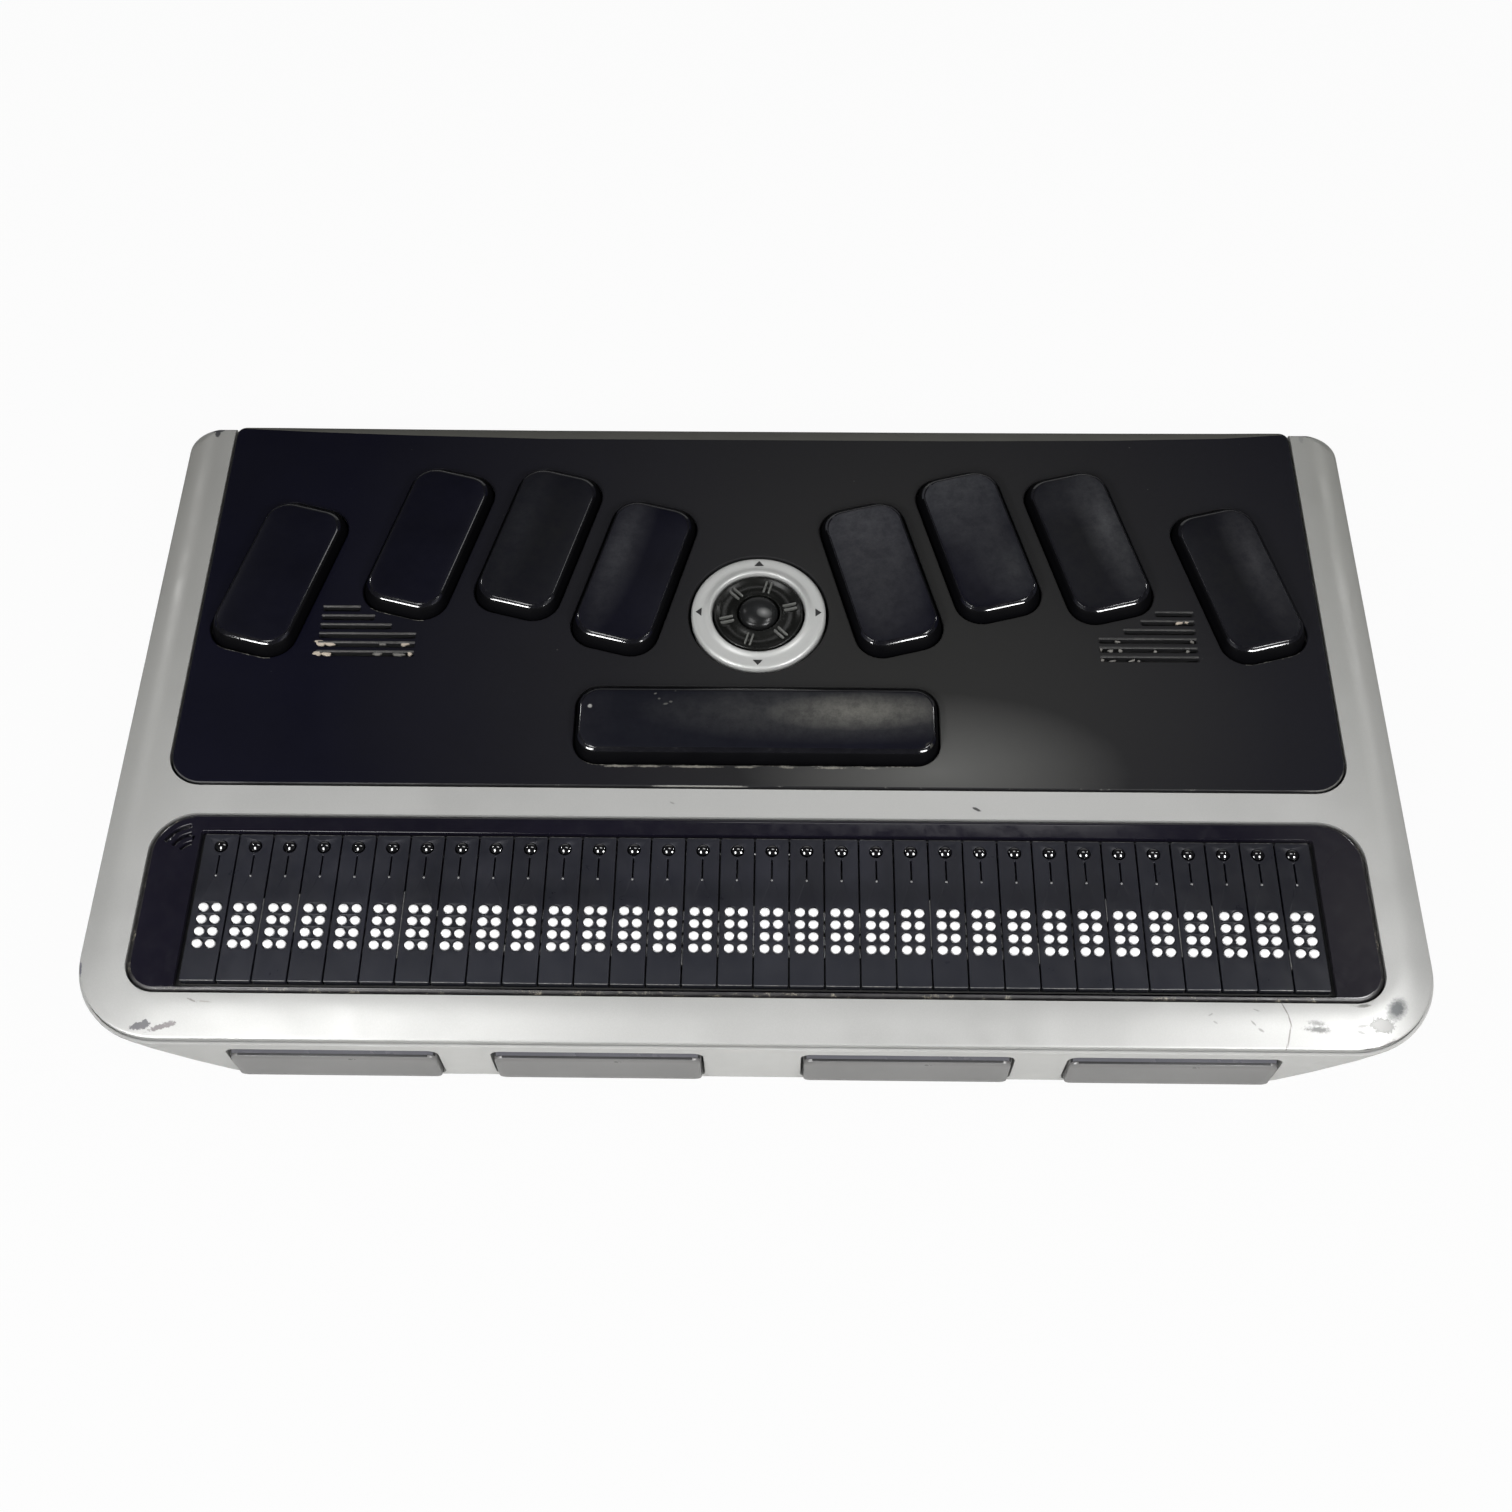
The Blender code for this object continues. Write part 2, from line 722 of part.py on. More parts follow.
def socket_hole(x, size):
    half = size[0] / 2 + FIT_GAP
    span_y = (REAR_Y - size[1], REAR_Y + CUT_OVERRUN)
    span_z = (SOCKET_BOTTOM - FIT_GAP, SOCKET_BOTTOM + size[2] + FIT_GAP)
    return span_box("socket_hole", (x - half, x + half), span_y, span_z)


def switch_hole():
    half_x = (SWITCH_WIDTH + SWITCH_TRAVEL) / 2 + FIT_GAP
    half_z = SWITCH_HEIGHT / 2 + FIT_GAP
    span_x = (SWITCH_X - half_x, SWITCH_X + half_x)
    span_y = (SWITCH_FLANGE_REAR, REAR_Y + CUT_OVERRUN)
    span_z = (SWITCH_Z - half_z, SWITCH_Z + half_z)
    return span_box("switch_hole", span_x, span_y, span_z)


def door_loop(growth):
    half_x = BATTERY_WIDTH / 2 + DOOR_LAP + growth
    half_y = BATTERY_DEPTH / 2 + DOOR_LAP + growth
    loop = centred_loop(2 * half_x, 2 * half_y, DOOR_CORNER + growth, KEY_CORNER_STEPS)
    return [(BATTERY_X + x, BATTERY_Y + y) for x, y in loop]


def door_opening():
    loop = door_loop(FIT_GAP)
    return outline_solid("door_opening", [loop], CASE_BOTTOM - CUT_OVERRUN, FLOOR_TOP + FIT_GAP)


def case_openings():
    pieces = []
    for x in thumb_places():
        pieces.append(join(thumb_opening(x), thumb_floor_relief(x)))
    for x, size in socket_table():
        pieces.append(socket_hole(x, size))
    pieces.append(switch_hole())
    pieces.append(door_opening())
    for place in boss_places():
        shaft = SCREW_SHAFT_RADIUS + FIT_GAP
        head = SCREW_HEAD_RADIUS + FIT_GAP
        low = CASE_BOTTOM - CUT_OVERRUN
        shaft_hole = rod("shaft_hole", place, shaft, low, RIB_TOP + CUT_OVERRUN, SCREW_SIDES)
        head_hole = rod("head_hole", place, head, low, screw_head_top() + FIT_GAP, SCREW_SIDES)
        pieces.append(join(shaft_hole, head_hole))
    seat_low = CASE_BOTTOM - CUT_OVERRUN
    seat_high = CASE_BOTTOM + FOOT_SEAT
    for place in foot_places():
        pieces.append(rod("seat", place, FOOT_RADIUS + FIT_GAP, seat_low, seat_high, FOOT_SIDES))
    return gather("case_openings", pieces)


def build_bottom_case():
    outer = [case_ring(height, 0.0) for height in case_heights(CASE_BOTTOM, CASE_RIM)]
    inner = [case_ring(height, CASE_WALL) for height in case_heights(FLOOR_TOP, CASE_RIM + CUT_OVERRUN)]
    case = cut(loft("bottom_case", outer), loft("case_hollow", inner))
    case = join(case, case_ribs())
    case = cut(case, case_openings())
    case.name = "bottom_case"
    return finish(case, case_grey(), round_angle=math.radians(30.0))


# Top frame


def frame_ring(inset_share, rise_share):
    """One ring of the frame's edge; the roll is deeper at the front than at the sides and the rear."""
    side = FRAME_SIDE_SETBACK + inset_share * FRAME_ROLL_SIDE
    front = FRAME_SETBACK + inset_share * FRAME_ROLL_FRONT
    rear = FRAME_SIDE_SETBACK + inset_share * FRAME_ROLL_REAR
    radius_front = FRONT_CORNER - side
    radius_rear = REAR_CORNER - side
    half = BODY_WIDTH / 2 - side
    radii = (radius_front, radius_front, radius_rear, radius_rear)
    loop = rounded_loop(-half, half, FRONT_Y + front, REAR_Y - rear, radii)
    return ring_at(loop, DECK_TOP - FRAME_ROLL_DROP * (1.0 - rise_share))


def frame_underside():
    return [(x, y, CASE_RIM + FIT_GAP) for x, y, z in frame_ring(0.0, 0.0)]


def build_top_frame():
    rings = [frame_underside()] + [frame_ring(inset, rise) for inset, rise in FRAME_ROLL_SHARES]
    frame = loft("top_frame", rings)
    low = CASE_RIM - CUT_OVERRUN
    high = DECK_TOP + CUT_OVERRUN
    panel_loop = panel_outline(FIT_GAP, REAR_Y + 2 * PANEL_CORNER, PANEL_CORNER)
    bezel_loop = bezel_outline(FIT_GAP)
    panel_cut = outline_solid("panel_cut", [panel_loop], low, high)
    bezel_cut = outline_solid("bezel_cut", [bezel_loop], low, high)
    frame = cut(frame, gather("frame_openings", [panel_cut, bezel_cut]))
    frame.name = "top_frame"
    return finish(frame, silver(), round_angle=math.radians(30.0))


# Keyboard panel


def panel_outline(growth, rear, rear_corner):
    half = PANEL_WIDTH / 2 + growth
    front_radius = PANEL_CORNER + growth
    radii = (front_radius, front_radius, rear_corner, rear_corner)
    return rounded_loop(-half, half, PANEL_FRONT - growth, rear, radii)


def key_places():
    """Name, centre and lean of each braille key; the hands mirror each other."""
    middle = KEY_INDEX_X + KEY_MIDDLE_STEP
    ring = middle + KEY_RING_STEP
    little = ring + KEY_LITTLE_STEP
    hand = (
        (KEY_INDEX_X, KEY_INDEX_Y),
        (middle, KEY_MIDDLE_Y),
        (ring, KEY_MIDDLE_Y),
        (little, KEY_LITTLE_Y),
    )
    left_names = ("dot_1_key", "dot_2_key", "dot_3_key", "backspace_key")
    right_names = ("dot_4_key", "dot_5_key", "dot_6_key", "enter_key")
    places = [(name, -x, PANEL_FRONT + y, -KEY_LEAN) for name, (x, y) in zip(left_names, hand)]
    places += [(name, x, PANEL_FRONT + y, KEY_LEAN) for name, (x, y) in zip(right_names, hand)]
    return places


def leaned(loop, x, y, lean):
    cos = math.cos(lean)
    sin = math.sin(lean)
    return [(x + cos * px - sin * py, y + sin * px + cos * py) for px, py in loop]


def key_opening_loop(width, depth, corner):
    return centred_loop(width + 2 * RUN_GAP, depth + 2 * RUN_GAP, corner + RUN_GAP, KEY_CORNER_STEPS)


def grille_loops():
    """The slots of both grilles, a staircase on each side that is straight along its outer end."""
    loops = []
    half = GRILLE_SLOT_WIDTH / 2
    for row, length in enumerate(GRILLE_LENGTHS):
        y = PANEL_FRONT + GRILLE_Y - row * GRILLE_PITCH
        for side in (-1.0, 1.0):
            ends = sorted((side * GRILLE_OUTER_X, side * (GRILLE_OUTER_X - length)))
            loops.append(rounded_loop(ends[0], ends[1], y - half, y + half, (half,) * 4, 2))
    return loops


def panel_openings():
    low = FLANGE_LOW - CUT_OVERRUN
    high = DECK_TOP + CUT_OVERRUN
    key_loop = key_opening_loop(KEY_WIDTH, KEY_LENGTH, KEY_CORNER)
    loops = [leaned(key_loop, x, y, lean) for name, x, y, lean in key_places()]
    space_loop = key_opening_loop(SPACE_WIDTH, SPACE_DEPTH, SPACE_CORNER)
    loops.append(leaned(space_loop, 0.0, PANEL_FRONT + SPACE_Y, 0.0))
    loops.append(regular_loop(0.0, NAV_CENTRE_Y, NAV_OUTER + RUN_GAP, NAV_SEGMENTS))
    loops += grille_loops()
    pieces = [outline_solid("opening", [loop], low, high) for loop in loops]
    for place in boss_places():
        radius = SCREW_SHAFT_RADIUS + FIT_GAP
        pieces.append(rod("pilot", place, radius, low, FLANGE_TOP + FIT_GAP, SCREW_SIDES))
    return gather("panel_openings", pieces)


def build_keyboard_panel():
    plate_loop = panel_outline(0.0, PANEL_REAR, PANEL_REAR_CORNER)
    plate = outline_solid("plate", [plate_loop], FLANGE_LOW, DECK_TOP)
    plate = chamfer_top(plate, DECK_TOP, EDGE_CHAMFER, 2)
    flange_rear = WALL_INNER_REAR - FIT_GAP
    flange = outline_solid(
        "keyboard_panel", [panel_outline(FLANGE_LAP, flange_rear, PANEL_CORNER)], FLANGE_LOW, FLANGE_TOP
    )
    rear_relief = span_box(
        "rear_relief",
        (-BODY_WIDTH / 2, BODY_WIDTH / 2),
        (flange_rear, REAR_Y + CUT_OVERRUN),
        (FLANGE_LOW - CUT_OVERRUN, CASE_RIM + FIT_GAP),
    )
    plate = cut(plate, rear_relief)
    panel = join(flange, plate)
    panel = cut(panel, panel_openings())
    panel.name = "keyboard_panel"
    return finish(panel, soft_black(), round_angle=math.radians(30.0))


# Braille bezel


def bezel_outline(growth):
    half = BEZEL_WIDTH / 2 + growth
    front = BEZEL_FRONT_CORNER + growth
    rear = BEZEL_REAR_CORNER + growth
    return rounded_loop(-half, half, BEZEL_FRONT - growth, BEZEL_REAR + growth, (front, front, rear, rear))


def window_loop():
    half = LINE_WIDTH / 2 + WINDOW_SIDE_GAP
    radii = (WINDOW_CORNER,) * 4
    return rounded_loop(-half, half, CAP_FRONT - WINDOW_FRONT_GAP, CAP_REAR + WINDOW_REAR_GAP, radii, 2)


def mic_loops():
    x = -BEZEL_WIDTH / 2 + MIC_CENTRE_INSET_X
    y = BEZEL_REAR - MIC_CENTRE_INSET_Y
    slot = (MIC_SLOT_WIDTH, MIC_START_ANGLE, MIC_SWEEP, MIC_STEPS)
    return [arc_band(x, y, radius, *slot) for radius in MIC_RADII]


def build_braille_bezel():
    top = DECK_TOP + BEZEL_PROUD
    plate = chamfer_top(outline_solid("plate", [bezel_outline(0.0)], FLANGE_LOW, top), top, EDGE_CHAMFER)
    flange = outline_solid("braille_bezel", [bezel_outline(FLANGE_LAP)], FLANGE_LOW, FLANGE_TOP)
    bezel = join(flange, plate)
    low = FLANGE_LOW - CUT_OVERRUN
    high = top + CUT_OVERRUN
    openings = [outline_solid("opening", [loop], low, high) for loop in [window_loop()] + mic_loops()]
    bezel = cut(bezel, gather("bezel_openings", openings))
    bezel.name = "braille_bezel"
    return finish(bezel, gloss_black(), round_angle=math.radians(30.0))


# Braille keys and space bar


def key_solid(name, width, depth, corner):
    """A bar with sloping sides over a flange that stays below; local z = 0 is the panel's top."""
    flange_growth = RUN_GAP + KEY_FLANGE_LAP
    shoulder = KEY_RISE - KEY_ROUND
    levels = (
        (KEY_FLANGE_LOW - DECK_TOP, flange_growth),
        (KEY_FLANGE_TOP - DECK_TOP, flange_growth),
        (KEY_FLANGE_TOP - DECK_TOP, 0.0),
        (0.0, 0.0),
        (shoulder, -KEY_SLOPE),
        (KEY_RISE, -KEY_SLOPE - KEY_ROUND),
    )
    rings = []
    for height, growth in levels:
        loop = centred_loop(width + 2 * growth, depth + 2 * growth, corner + growth, KEY_CORNER_STEPS)
        rings.append(ring_at(loop, height))
    return loft(name, rings)


def build_keys():
    for name, x, y, lean in key_places():
        key = key_solid(name, KEY_WIDTH, KEY_LENGTH, KEY_CORNER)
        finish(key, key_black(), (x, y, DECK_TOP), lean, math.radians(50.0))
    space = key_solid("space_bar", SPACE_WIDTH, SPACE_DEPTH, SPACE_CORNER)
    finish(space, key_black(), (0.0, PANEL_FRONT + SPACE_Y, DECK_TOP), 0.0, math.radians(50.0))


# Navigation ring, carrier, scroll wheel, select button and encoder


def build_nav_ring():
    """A ring with a raised ridge round its middle; its origin lies on both tilt axes."""
    width = NAV_OUTER - NAV_INNER
    ridge = NAV_INNER + width * NAV_RIDGE_SHARE
    shoulder = NAV_DEPTH - NAV_EDGE
    profile = (
        (ridge, NAV_DEPTH),
        (NAV_OUTER - NAV_EDGE, shoulder),
        (NAV_OUTER, shoulder - NAV_EDGE),
        (NAV_OUTER, 0.0),
        (NAV_INNER, 0.0),
        (NAV_INNER, shoulder),
    )
    ring = turned("nav_ring", profile, NAV_SEGMENTS)
    finish(ring, silver(), (0.0, NAV_CENTRE_Y, NAV_LOW), 0.0, math.radians(30.0))


def build_nav_carrier():
    outer = NAV_OUTER - CARRIER_INSET
    inner = NAV_INNER + CARRIER_INSET
    high = CARRIER_TOP - NAV_LOW
    low = CARRIER_LOW - NAV_LOW
    profile = ((outer, high), (outer, low), (inner, low), (inner, high))
    carrier = turned("nav_carrier", profile, NAV_SEGMENTS)
    finish(carrier, plain_black(), (0.0, NAV_CENTRE_Y, NAV_LOW), 0.0, math.radians(30.0))


def wheel_ribs():
    """Pairs of short raised ribs on the wheel's face, spread evenly round it."""
    middle = (WHEEL_RADIUS + WHEEL_BORE) / 2
    pieces = []
    for pair in range(RIB_PAIRS):
        turn = Matrix.Rotation(RIB_START_ANGLE + 2.0 * math.pi * pair / RIB_PAIRS, 4, "Z")
        for side in (-1.0, 1.0):
            centre = (middle, side * RIB_SPACING / 2, WHEEL_DEPTH - WHEEL_DISH)
            size = (RIB_LENGTH, RIB_WIDTH, 2 * RIB_RISE + WHEEL_DISH)
            rib = box("rib", centre, size)
            rib.data.transform(turn)
            pieces.append(rib)
    return gather("ribs", pieces)


def build_scroll_wheel():
    """A dished disc with a hub below it; its origin lies on its axis at the disc's underside."""
    dish = (WHEEL_RADIUS + WHEEL_BORE) / 2
    profile = (
        (WHEEL_BORE, WHEEL_DEPTH),
        (dish, WHEEL_DEPTH - WHEEL_DISH),
        (WHEEL_RADIUS, WHEEL_DEPTH),
        (WHEEL_RADIUS, 0.0),
        (WHEEL_HUB_RADIUS, 0.0),
        (WHEEL_HUB_RADIUS, WHEEL_DEPTH - WHEEL_HUB_DEPTH),
        (WHEEL_BORE, WHEEL_DEPTH - WHEEL_HUB_DEPTH),
    )
    wheel = join(turned("scroll_wheel", profile, WHEEL_SEGMENTS), wheel_ribs())
    wheel.name = "scroll_wheel"
    finish(wheel, gloss_black(), (0.0, NAV_CENTRE_Y, WHEEL_LOW), 0.0, math.radians(30.0))


def build_select_button():
    rise = DECK_TOP + SELECT_RISE - WHEEL_TOP
    stem = DECK_TOP + SELECT_RISE - SELECT_LOW
    profile = (
        (0.0, stem),
        *[(SELECT_RADIUS * out, stem - rise * down) for out, down in SELECT_DOME_SHARES],
        (SELECT_RADIUS, stem - rise),
        (SELECT_RADIUS, 0.0),
        (0.0, 0.0),
    )
    button = turned("select_button", profile, SELECT_SEGMENTS)
    finish(button, gloss_black(), (0.0, NAV_CENTRE_Y, SELECT_LOW), 0.0, math.radians(40.0))


def build_wheel_encoder():
    high = ENCODER_HEIGHT
    profile = ((ENCODER_OUTER, high), (ENCODER_OUTER, 0.0), (WHEEL_BORE, 0.0), (WHEEL_BORE, high))
    encoder = turned("wheel_encoder", profile, SELECT_SEGMENTS)
    finish(encoder, plain_black(), (0.0, NAV_CENTRE_Y, KEY_BOARD_TOP + FIT_GAP), 0.0, math.radians(30.0))


# Braille line


def cell_centre(cell):
    return (cell - (CELL_COUNT - 1) / 2) * CELL_PITCH


def row_y(row):
    return PIN_Y + ((DOT_ROWS - 1) / 2 - row) * DOT_PITCH


def comb_outline():
    """The caps' outline: fine slits between neighbours run from the front and stop short of the rear."""
    half = LINE_WIDTH / 2
    slit_end = CAP_REAR - CAP_BRIDGE
    points = [(-half, CAP_FRONT)]
    for cell in range(CELL_COUNT - 1):
        seam = cell_centre(cell) + CELL_PITCH / 2
        left = seam - CAP_SEAM / 2
        right = seam + CAP_SEAM / 2
        points += [(left, CAP_FRONT), (left, slit_end), (right, slit_end), (right, CAP_FRONT)]
    points += [(half, CAP_FRONT), (half, CAP_REAR), (-half, CAP_REAR)]
    return points


def build_cell_caps():
    loops = [comb_outline()]
    hole = PIN_WIDTH + 2 * PIN_CLEARANCE
    for cell in range(CELL_COUNT):
        x = cell_centre(cell)
        for row in range(DOT_ROWS):
            for side in (-1.0, 1.0):
                loops.append(square_loop(x + side * DOT_PITCH / 2, row_y(row), hole))
        loops.append(regular_loop(x, ROUTING_Y, ROUTING_RADIUS + ROUTING_CLEARANCE, ROUTING_SIDES))
    caps = outline_solid("cell_caps", loops, CAP_LOW, CAP_TOP)
    finish(caps, cap_grey())


def build_pin_row(name, row):
    """The pins of one row of dots stand on a rail under the caps; the origin is at the row's middle."""
    half = LINE_WIDTH / 2 - CELL_PITCH / 2 + DOT_PITCH / 2 + PIN_WIDTH / 2
    top = CAP_TOP + PIN_RAISE - RAIL_TOP
    rail = span_box(name, (-half, half), (-RAIL_WIDTH / 2, RAIL_WIDTH / 2), (-RAIL_THICKNESS, 0.0))
    pins = []
    for cell in range(CELL_COUNT):
        for side in (-1.0, 1.0):
            x = cell_centre(cell) + side * DOT_PITCH / 2
            width = PIN_WIDTH / 2
            pins.append(span_box("pin", (x - width, x + width), (-width, width), (-RAIL_THICKNESS / 2, top)))
    rail = join(rail, gather("pins", pins))
    rail.name = name
    finish(rail, pin_white(), (0.0, row_y(row), RAIL_TOP))


def build_pins():
    for row, name in enumerate(("pins_dots_1_4", "pins_dots_2_5", "pins_dots_3_6", "pins_dots_7_8")):
        build_pin_row(name, row)


def build_routing_buttons():
    half = LINE_WIDTH / 2 - CELL_PITCH / 2 + ROUTING_RADIUS
    top = CAP_TOP + ROUTING_RISE - RAIL_TOP
    depth = ROUTING_RAIL_WIDTH / 2
    rail = span_box("routing_buttons", (-half, half), (-depth, depth), (-RAIL_THICKNESS, 0.0))
    buttons = []
    for cell in range(CELL_COUNT):
        place = (cell_centre(cell), 0.0)
        buttons.append(rod("button", place, ROUTING_RADIUS, -RAIL_THICKNESS / 2, top, ROUTING_SIDES))
    rail = join(rail, gather("buttons", buttons))
    rail.name = "routing_buttons"
    finish(rail, gloss_black(), (0.0, ROUTING_Y, RAIL_TOP))


def cell_frame_loop(inset, corner):
    half = LINE_WIDTH / 2 - inset
    return rounded_loop(-half, half, CAP_FRONT + inset, CAP_REAR - inset, (corner,) * 4, 1)


def build_cell_frame():
    loops = [cell_frame_loop(0.0, WINDOW_CORNER), cell_frame_loop(CELL_FRAME_WALL, FIT_GAP)]
    finish(outline_solid("cell_frame", loops, CELL_FRAME_LOW, RAIL_TOP), plain_black())


def build_piezo_reeds():
    """Four levels of reeds, joined by the block that clamps their rear ends, drawn from the side."""
    top = RAIL_TOP - RAIL_THICKNESS - PIN_RAISE - FIT_GAP
    pitch = (top - CELL_FRAME_LOW) / REED_LEVELS
    rear = CAP_REAR - CELL_FRAME_WALL - FIT_GAP
    root = rear - REED_BLOCK_DEPTH
    tip = CAP_FRONT + CELL_FRAME_WALL + FIT_GAP
    points = [(rear, CELL_FRAME_LOW), (rear, top)]
    for level in range(REED_LEVELS):
        upper = top - level * pitch
        lower = upper - REED_THICKNESS
        reach = tip + level * DOT_PITCH
        points += [(reach, upper), (reach, lower), (root, lower)]
        if level < REED_LEVELS - 1:
            points.append((root, upper - pitch))
    points.append((root, CELL_FRAME_LOW))
    half = LINE_WIDTH / 2 - CELL_FRAME_WALL - FIT_GAP
    reeds = turn_to_side(outline_solid("piezo_reeds", [points], -half, half))
    finish(reeds, ceramic())


def build_cell_backplane():
    loop = cell_frame_loop(-CELL_FRAME_WALL, WINDOW_CORNER)
    high = BACKPLANE_LOW + BACKPLANE_THICKNESS
    finish(outline_solid("cell_backplane", [loop], BACKPLANE_LOW, high), board_green())


# Thumb keys


def thumb_solid(name):
    """A bar with a chamfered upper edge and a flange behind the wall; local z = 0 is its underside."""
    high = THUMB_HEIGHT
    flange_front = WALL_INNER_FRONT + FIT_GAP - THUMB_FACE
    flange_rear = flange_front + THUMB_FLANGE_THICKNESS
    lap = RUN_GAP + THUMB_FLANGE_LAP
    half = THUMB_WIDTH / 2
    profile = (
        (0.0, 0.0),
        (THUMB_DEPTH, 0.0),
        (THUMB_DEPTH, high),
        (THUMB_CHAMFER, high),
        (0.0, high - 2 * THUMB_CHAMFER),
    )
    body = turn_to_side(outline_solid("body", [profile], -half, half))
    flange_high = high + THUMB_FLANGE_LAP
    flange = span_box(name, (-half - lap, half + lap), (flange_front, flange_rear), (0.0, flange_high))
    key = join(flange, body)
    key.name = name
    return key


def build_thumb_keys():
    names = ("previous_thumb_key", "back_thumb_key", "advance_thumb_key", "next_thumb_key")
    for name, x in zip(names, thumb_places()):
        finish(thumb_solid(name), thumb_grey(), (x, THUMB_FACE, THUMB_BOTTOM))


def build_thumb_board():
    half = THUMB_OUTER_X + THUMB_WIDTH / 2
    front = THUMB_REAR + THUMB_TRAVEL + FIT_GAP + RUN_GAP
    low = FLOOR_TOP + FIT_GAP
    span_y = (front, front + BOARD_THICKNESS)
    board = span_box("thumb_key_board", (-half, half), span_y, (low, low + THUMB_BOARD_HEIGHT))
    finish(board, board_green())


# Boards, battery, speakers and microphone


def key_board_outline():
    half = SIDE_X - KEY_BOARD_SIDE_GAP
    front = PANEL_FRONT + KEY_BOARD_FRONT_GAP
    radii = (KEY_BOARD_CORNER,) * 4
    return rounded_loop(-half, half, front, REAR_Y - KEY_BOARD_REAR_GAP, radii, KEY_CORNER_STEPS)


def boss_holes():
    places = [(x, y) for x, y in boss_places() if y < BOSS_REAR_Y]
    return [regular_loop(x, y, BOSS_RADIUS + FIT_GAP, SCREW_SIDES) for x, y in places]


def build_key_board():
    loops = [key_board_outline()] + boss_holes()
    board = outline_solid("key_board", loops, KEY_BOARD_TOP - BOARD_THICKNESS, KEY_BOARD_TOP)
    finish(board, board_green())


def build_key_mat():
    hole = regular_loop(0.0, NAV_CENTRE_Y, ENCODER_OUTER + FIT_GAP, SELECT_SEGMENTS)
    loops = [key_board_outline(), hole] + boss_holes()
    mat = outline_solid("key_mat", loops, KEY_MAT_LOW, KEY_MAT_LOW + KEY_MAT_THICKNESS)
    finish(mat, rubber())


def build_main_board():
    low = FLOOR_TOP + MAIN_BOARD_LIFT
    half_x = MAIN_BOARD_WIDTH / 2
    half_y = MAIN_BOARD_DEPTH / 2
    board = span_box(
        "main_board",
        (MAIN_BOARD_X - half_x, MAIN_BOARD_X + half_x),
        (MAIN_BOARD_Y - half_y, MAIN_BOARD_Y + half_y),
        (low, low + BOARD_THICKNESS),
    )
    finish(board, board_green())


def build_battery():
    loop = centred_loop(BATTERY_WIDTH, BATTERY_DEPTH, BATTERY_CORNER, 2)
    low = FLOOR_TOP + FIT_GAP
    pack = outline_solid("battery_pack", [loop], 0.0, BATTERY_HEIGHT)
    finish(pack, plain_black(), (BATTERY_X, BATTERY_Y, low))
    finish(outline_solid("battery_door", [door_loop(0.0)], CASE_BOTTOM, FLOOR_TOP), case_grey())


def build_speakers():
    high = FLANGE_LOW - FIT_GAP
    for name, side in (("left_speaker", -1.0), ("right_speaker", 1.0)):
        loop = centred_loop(SPEAKER_WIDTH, SPEAKER_DEPTH, SPEAKER_CORNER, KEY_CORNER_STEPS)
        speaker = outline_solid(name, [loop], -SPEAKER_HEIGHT, 0.0)
        x = side * (GRILLE_OUTER_X - SPEAKER_WIDTH / 2)
        finish(speaker, plain_black(), (x, PANEL_FRONT + SPEAKER_Y, high))


def build_microphone():
    x = -BEZEL_WIDTH / 2 + MIC_CAPSULE_INSET
    y = BEZEL_REAR - MIC_CAPSULE_INSET
    capsule = rod("microphone", (0.0, 0.0), MIC_CAPSULE_RADIUS, -MIC_CAPSULE_HEIGHT, 0.0, FOOT_SIDES)
    finish(capsule, steel(), (x, y, FLANGE_LOW - FIT_GAP), 0.0, math.radians(30.0))


# Sockets and power switch


def socket_table():
    """The middle and the outer size of each socket in the rear wall."""
    table = [(DC_X, DC_SIZE), (NETWORK_X, NETWORK_SIZE)]
    table += [(x, USB_SIZE) for x in USB_X]
    table += [(x, AUDIO_SIZE) for x in AUDIO_X]
    table.append((CARD_X, CARD_SIZE))
    return table


def socket_body(name, size):
    """A block whose rear face is at local y = 0 and whose underside is at local z = 0."""
    return span_box(name, (-size[0] / 2, size[0] / 2), (-size[1], 0.0), (0.0, size[2]))


def box_socket(name, x, size, cavity):
    body = socket_body(name, size)
    low = (size[2] - cavity[2]) / 2
    hollow = span_box(
        "cavity", (-cavity[0] / 2, cavity[0] / 2), (-cavity[1], CUT_OVERRUN), (low, low + cavity[2])
    )
    body = cut(body, hollow)
    body.name = name
    finish(body, steel(), (x, SOCKET_FACE, SOCKET_BOTTOM))


def round_socket(name, x, size, bore):
    body = socket_body(name, size)
    hole = rod("bore", (0.0, 0.0), bore, -CUT_OVERRUN, size[1] * SOCKET_BORE_SHARE, SCREW_SIDES)
    hole.data.transform(Matrix.Rotation(math.pi / 2, 4, "X"))
    hole.data.transform(Matrix.Translation((0.0, 0.0, size[2] / 2)))
    body = cut(body, hole)
    body.name = name
    finish(body, plain_black(), (x, SOCKET_FACE, SOCKET_BOTTOM))


def build_sockets():
    round_socket("power_inlet", DC_X, DC_SIZE, DC_BORE)
    box_socket("network_socket", NETWORK_X, NETWORK_SIZE, NETWORK_CAVITY)
    for name, x in zip(("usb_socket_left", "usb_socket_right"), USB_X):
        box_socket(name, x, USB_SIZE, USB_CAVITY)
    for name, x in zip(("headphone_socket", "line_in_socket"), AUDIO_X):
        round_socket(name, x, AUDIO_SIZE, AUDIO_BORE)
    box_socket("card_slot", CARD_X, CARD_SIZE, CARD_CAVITY)


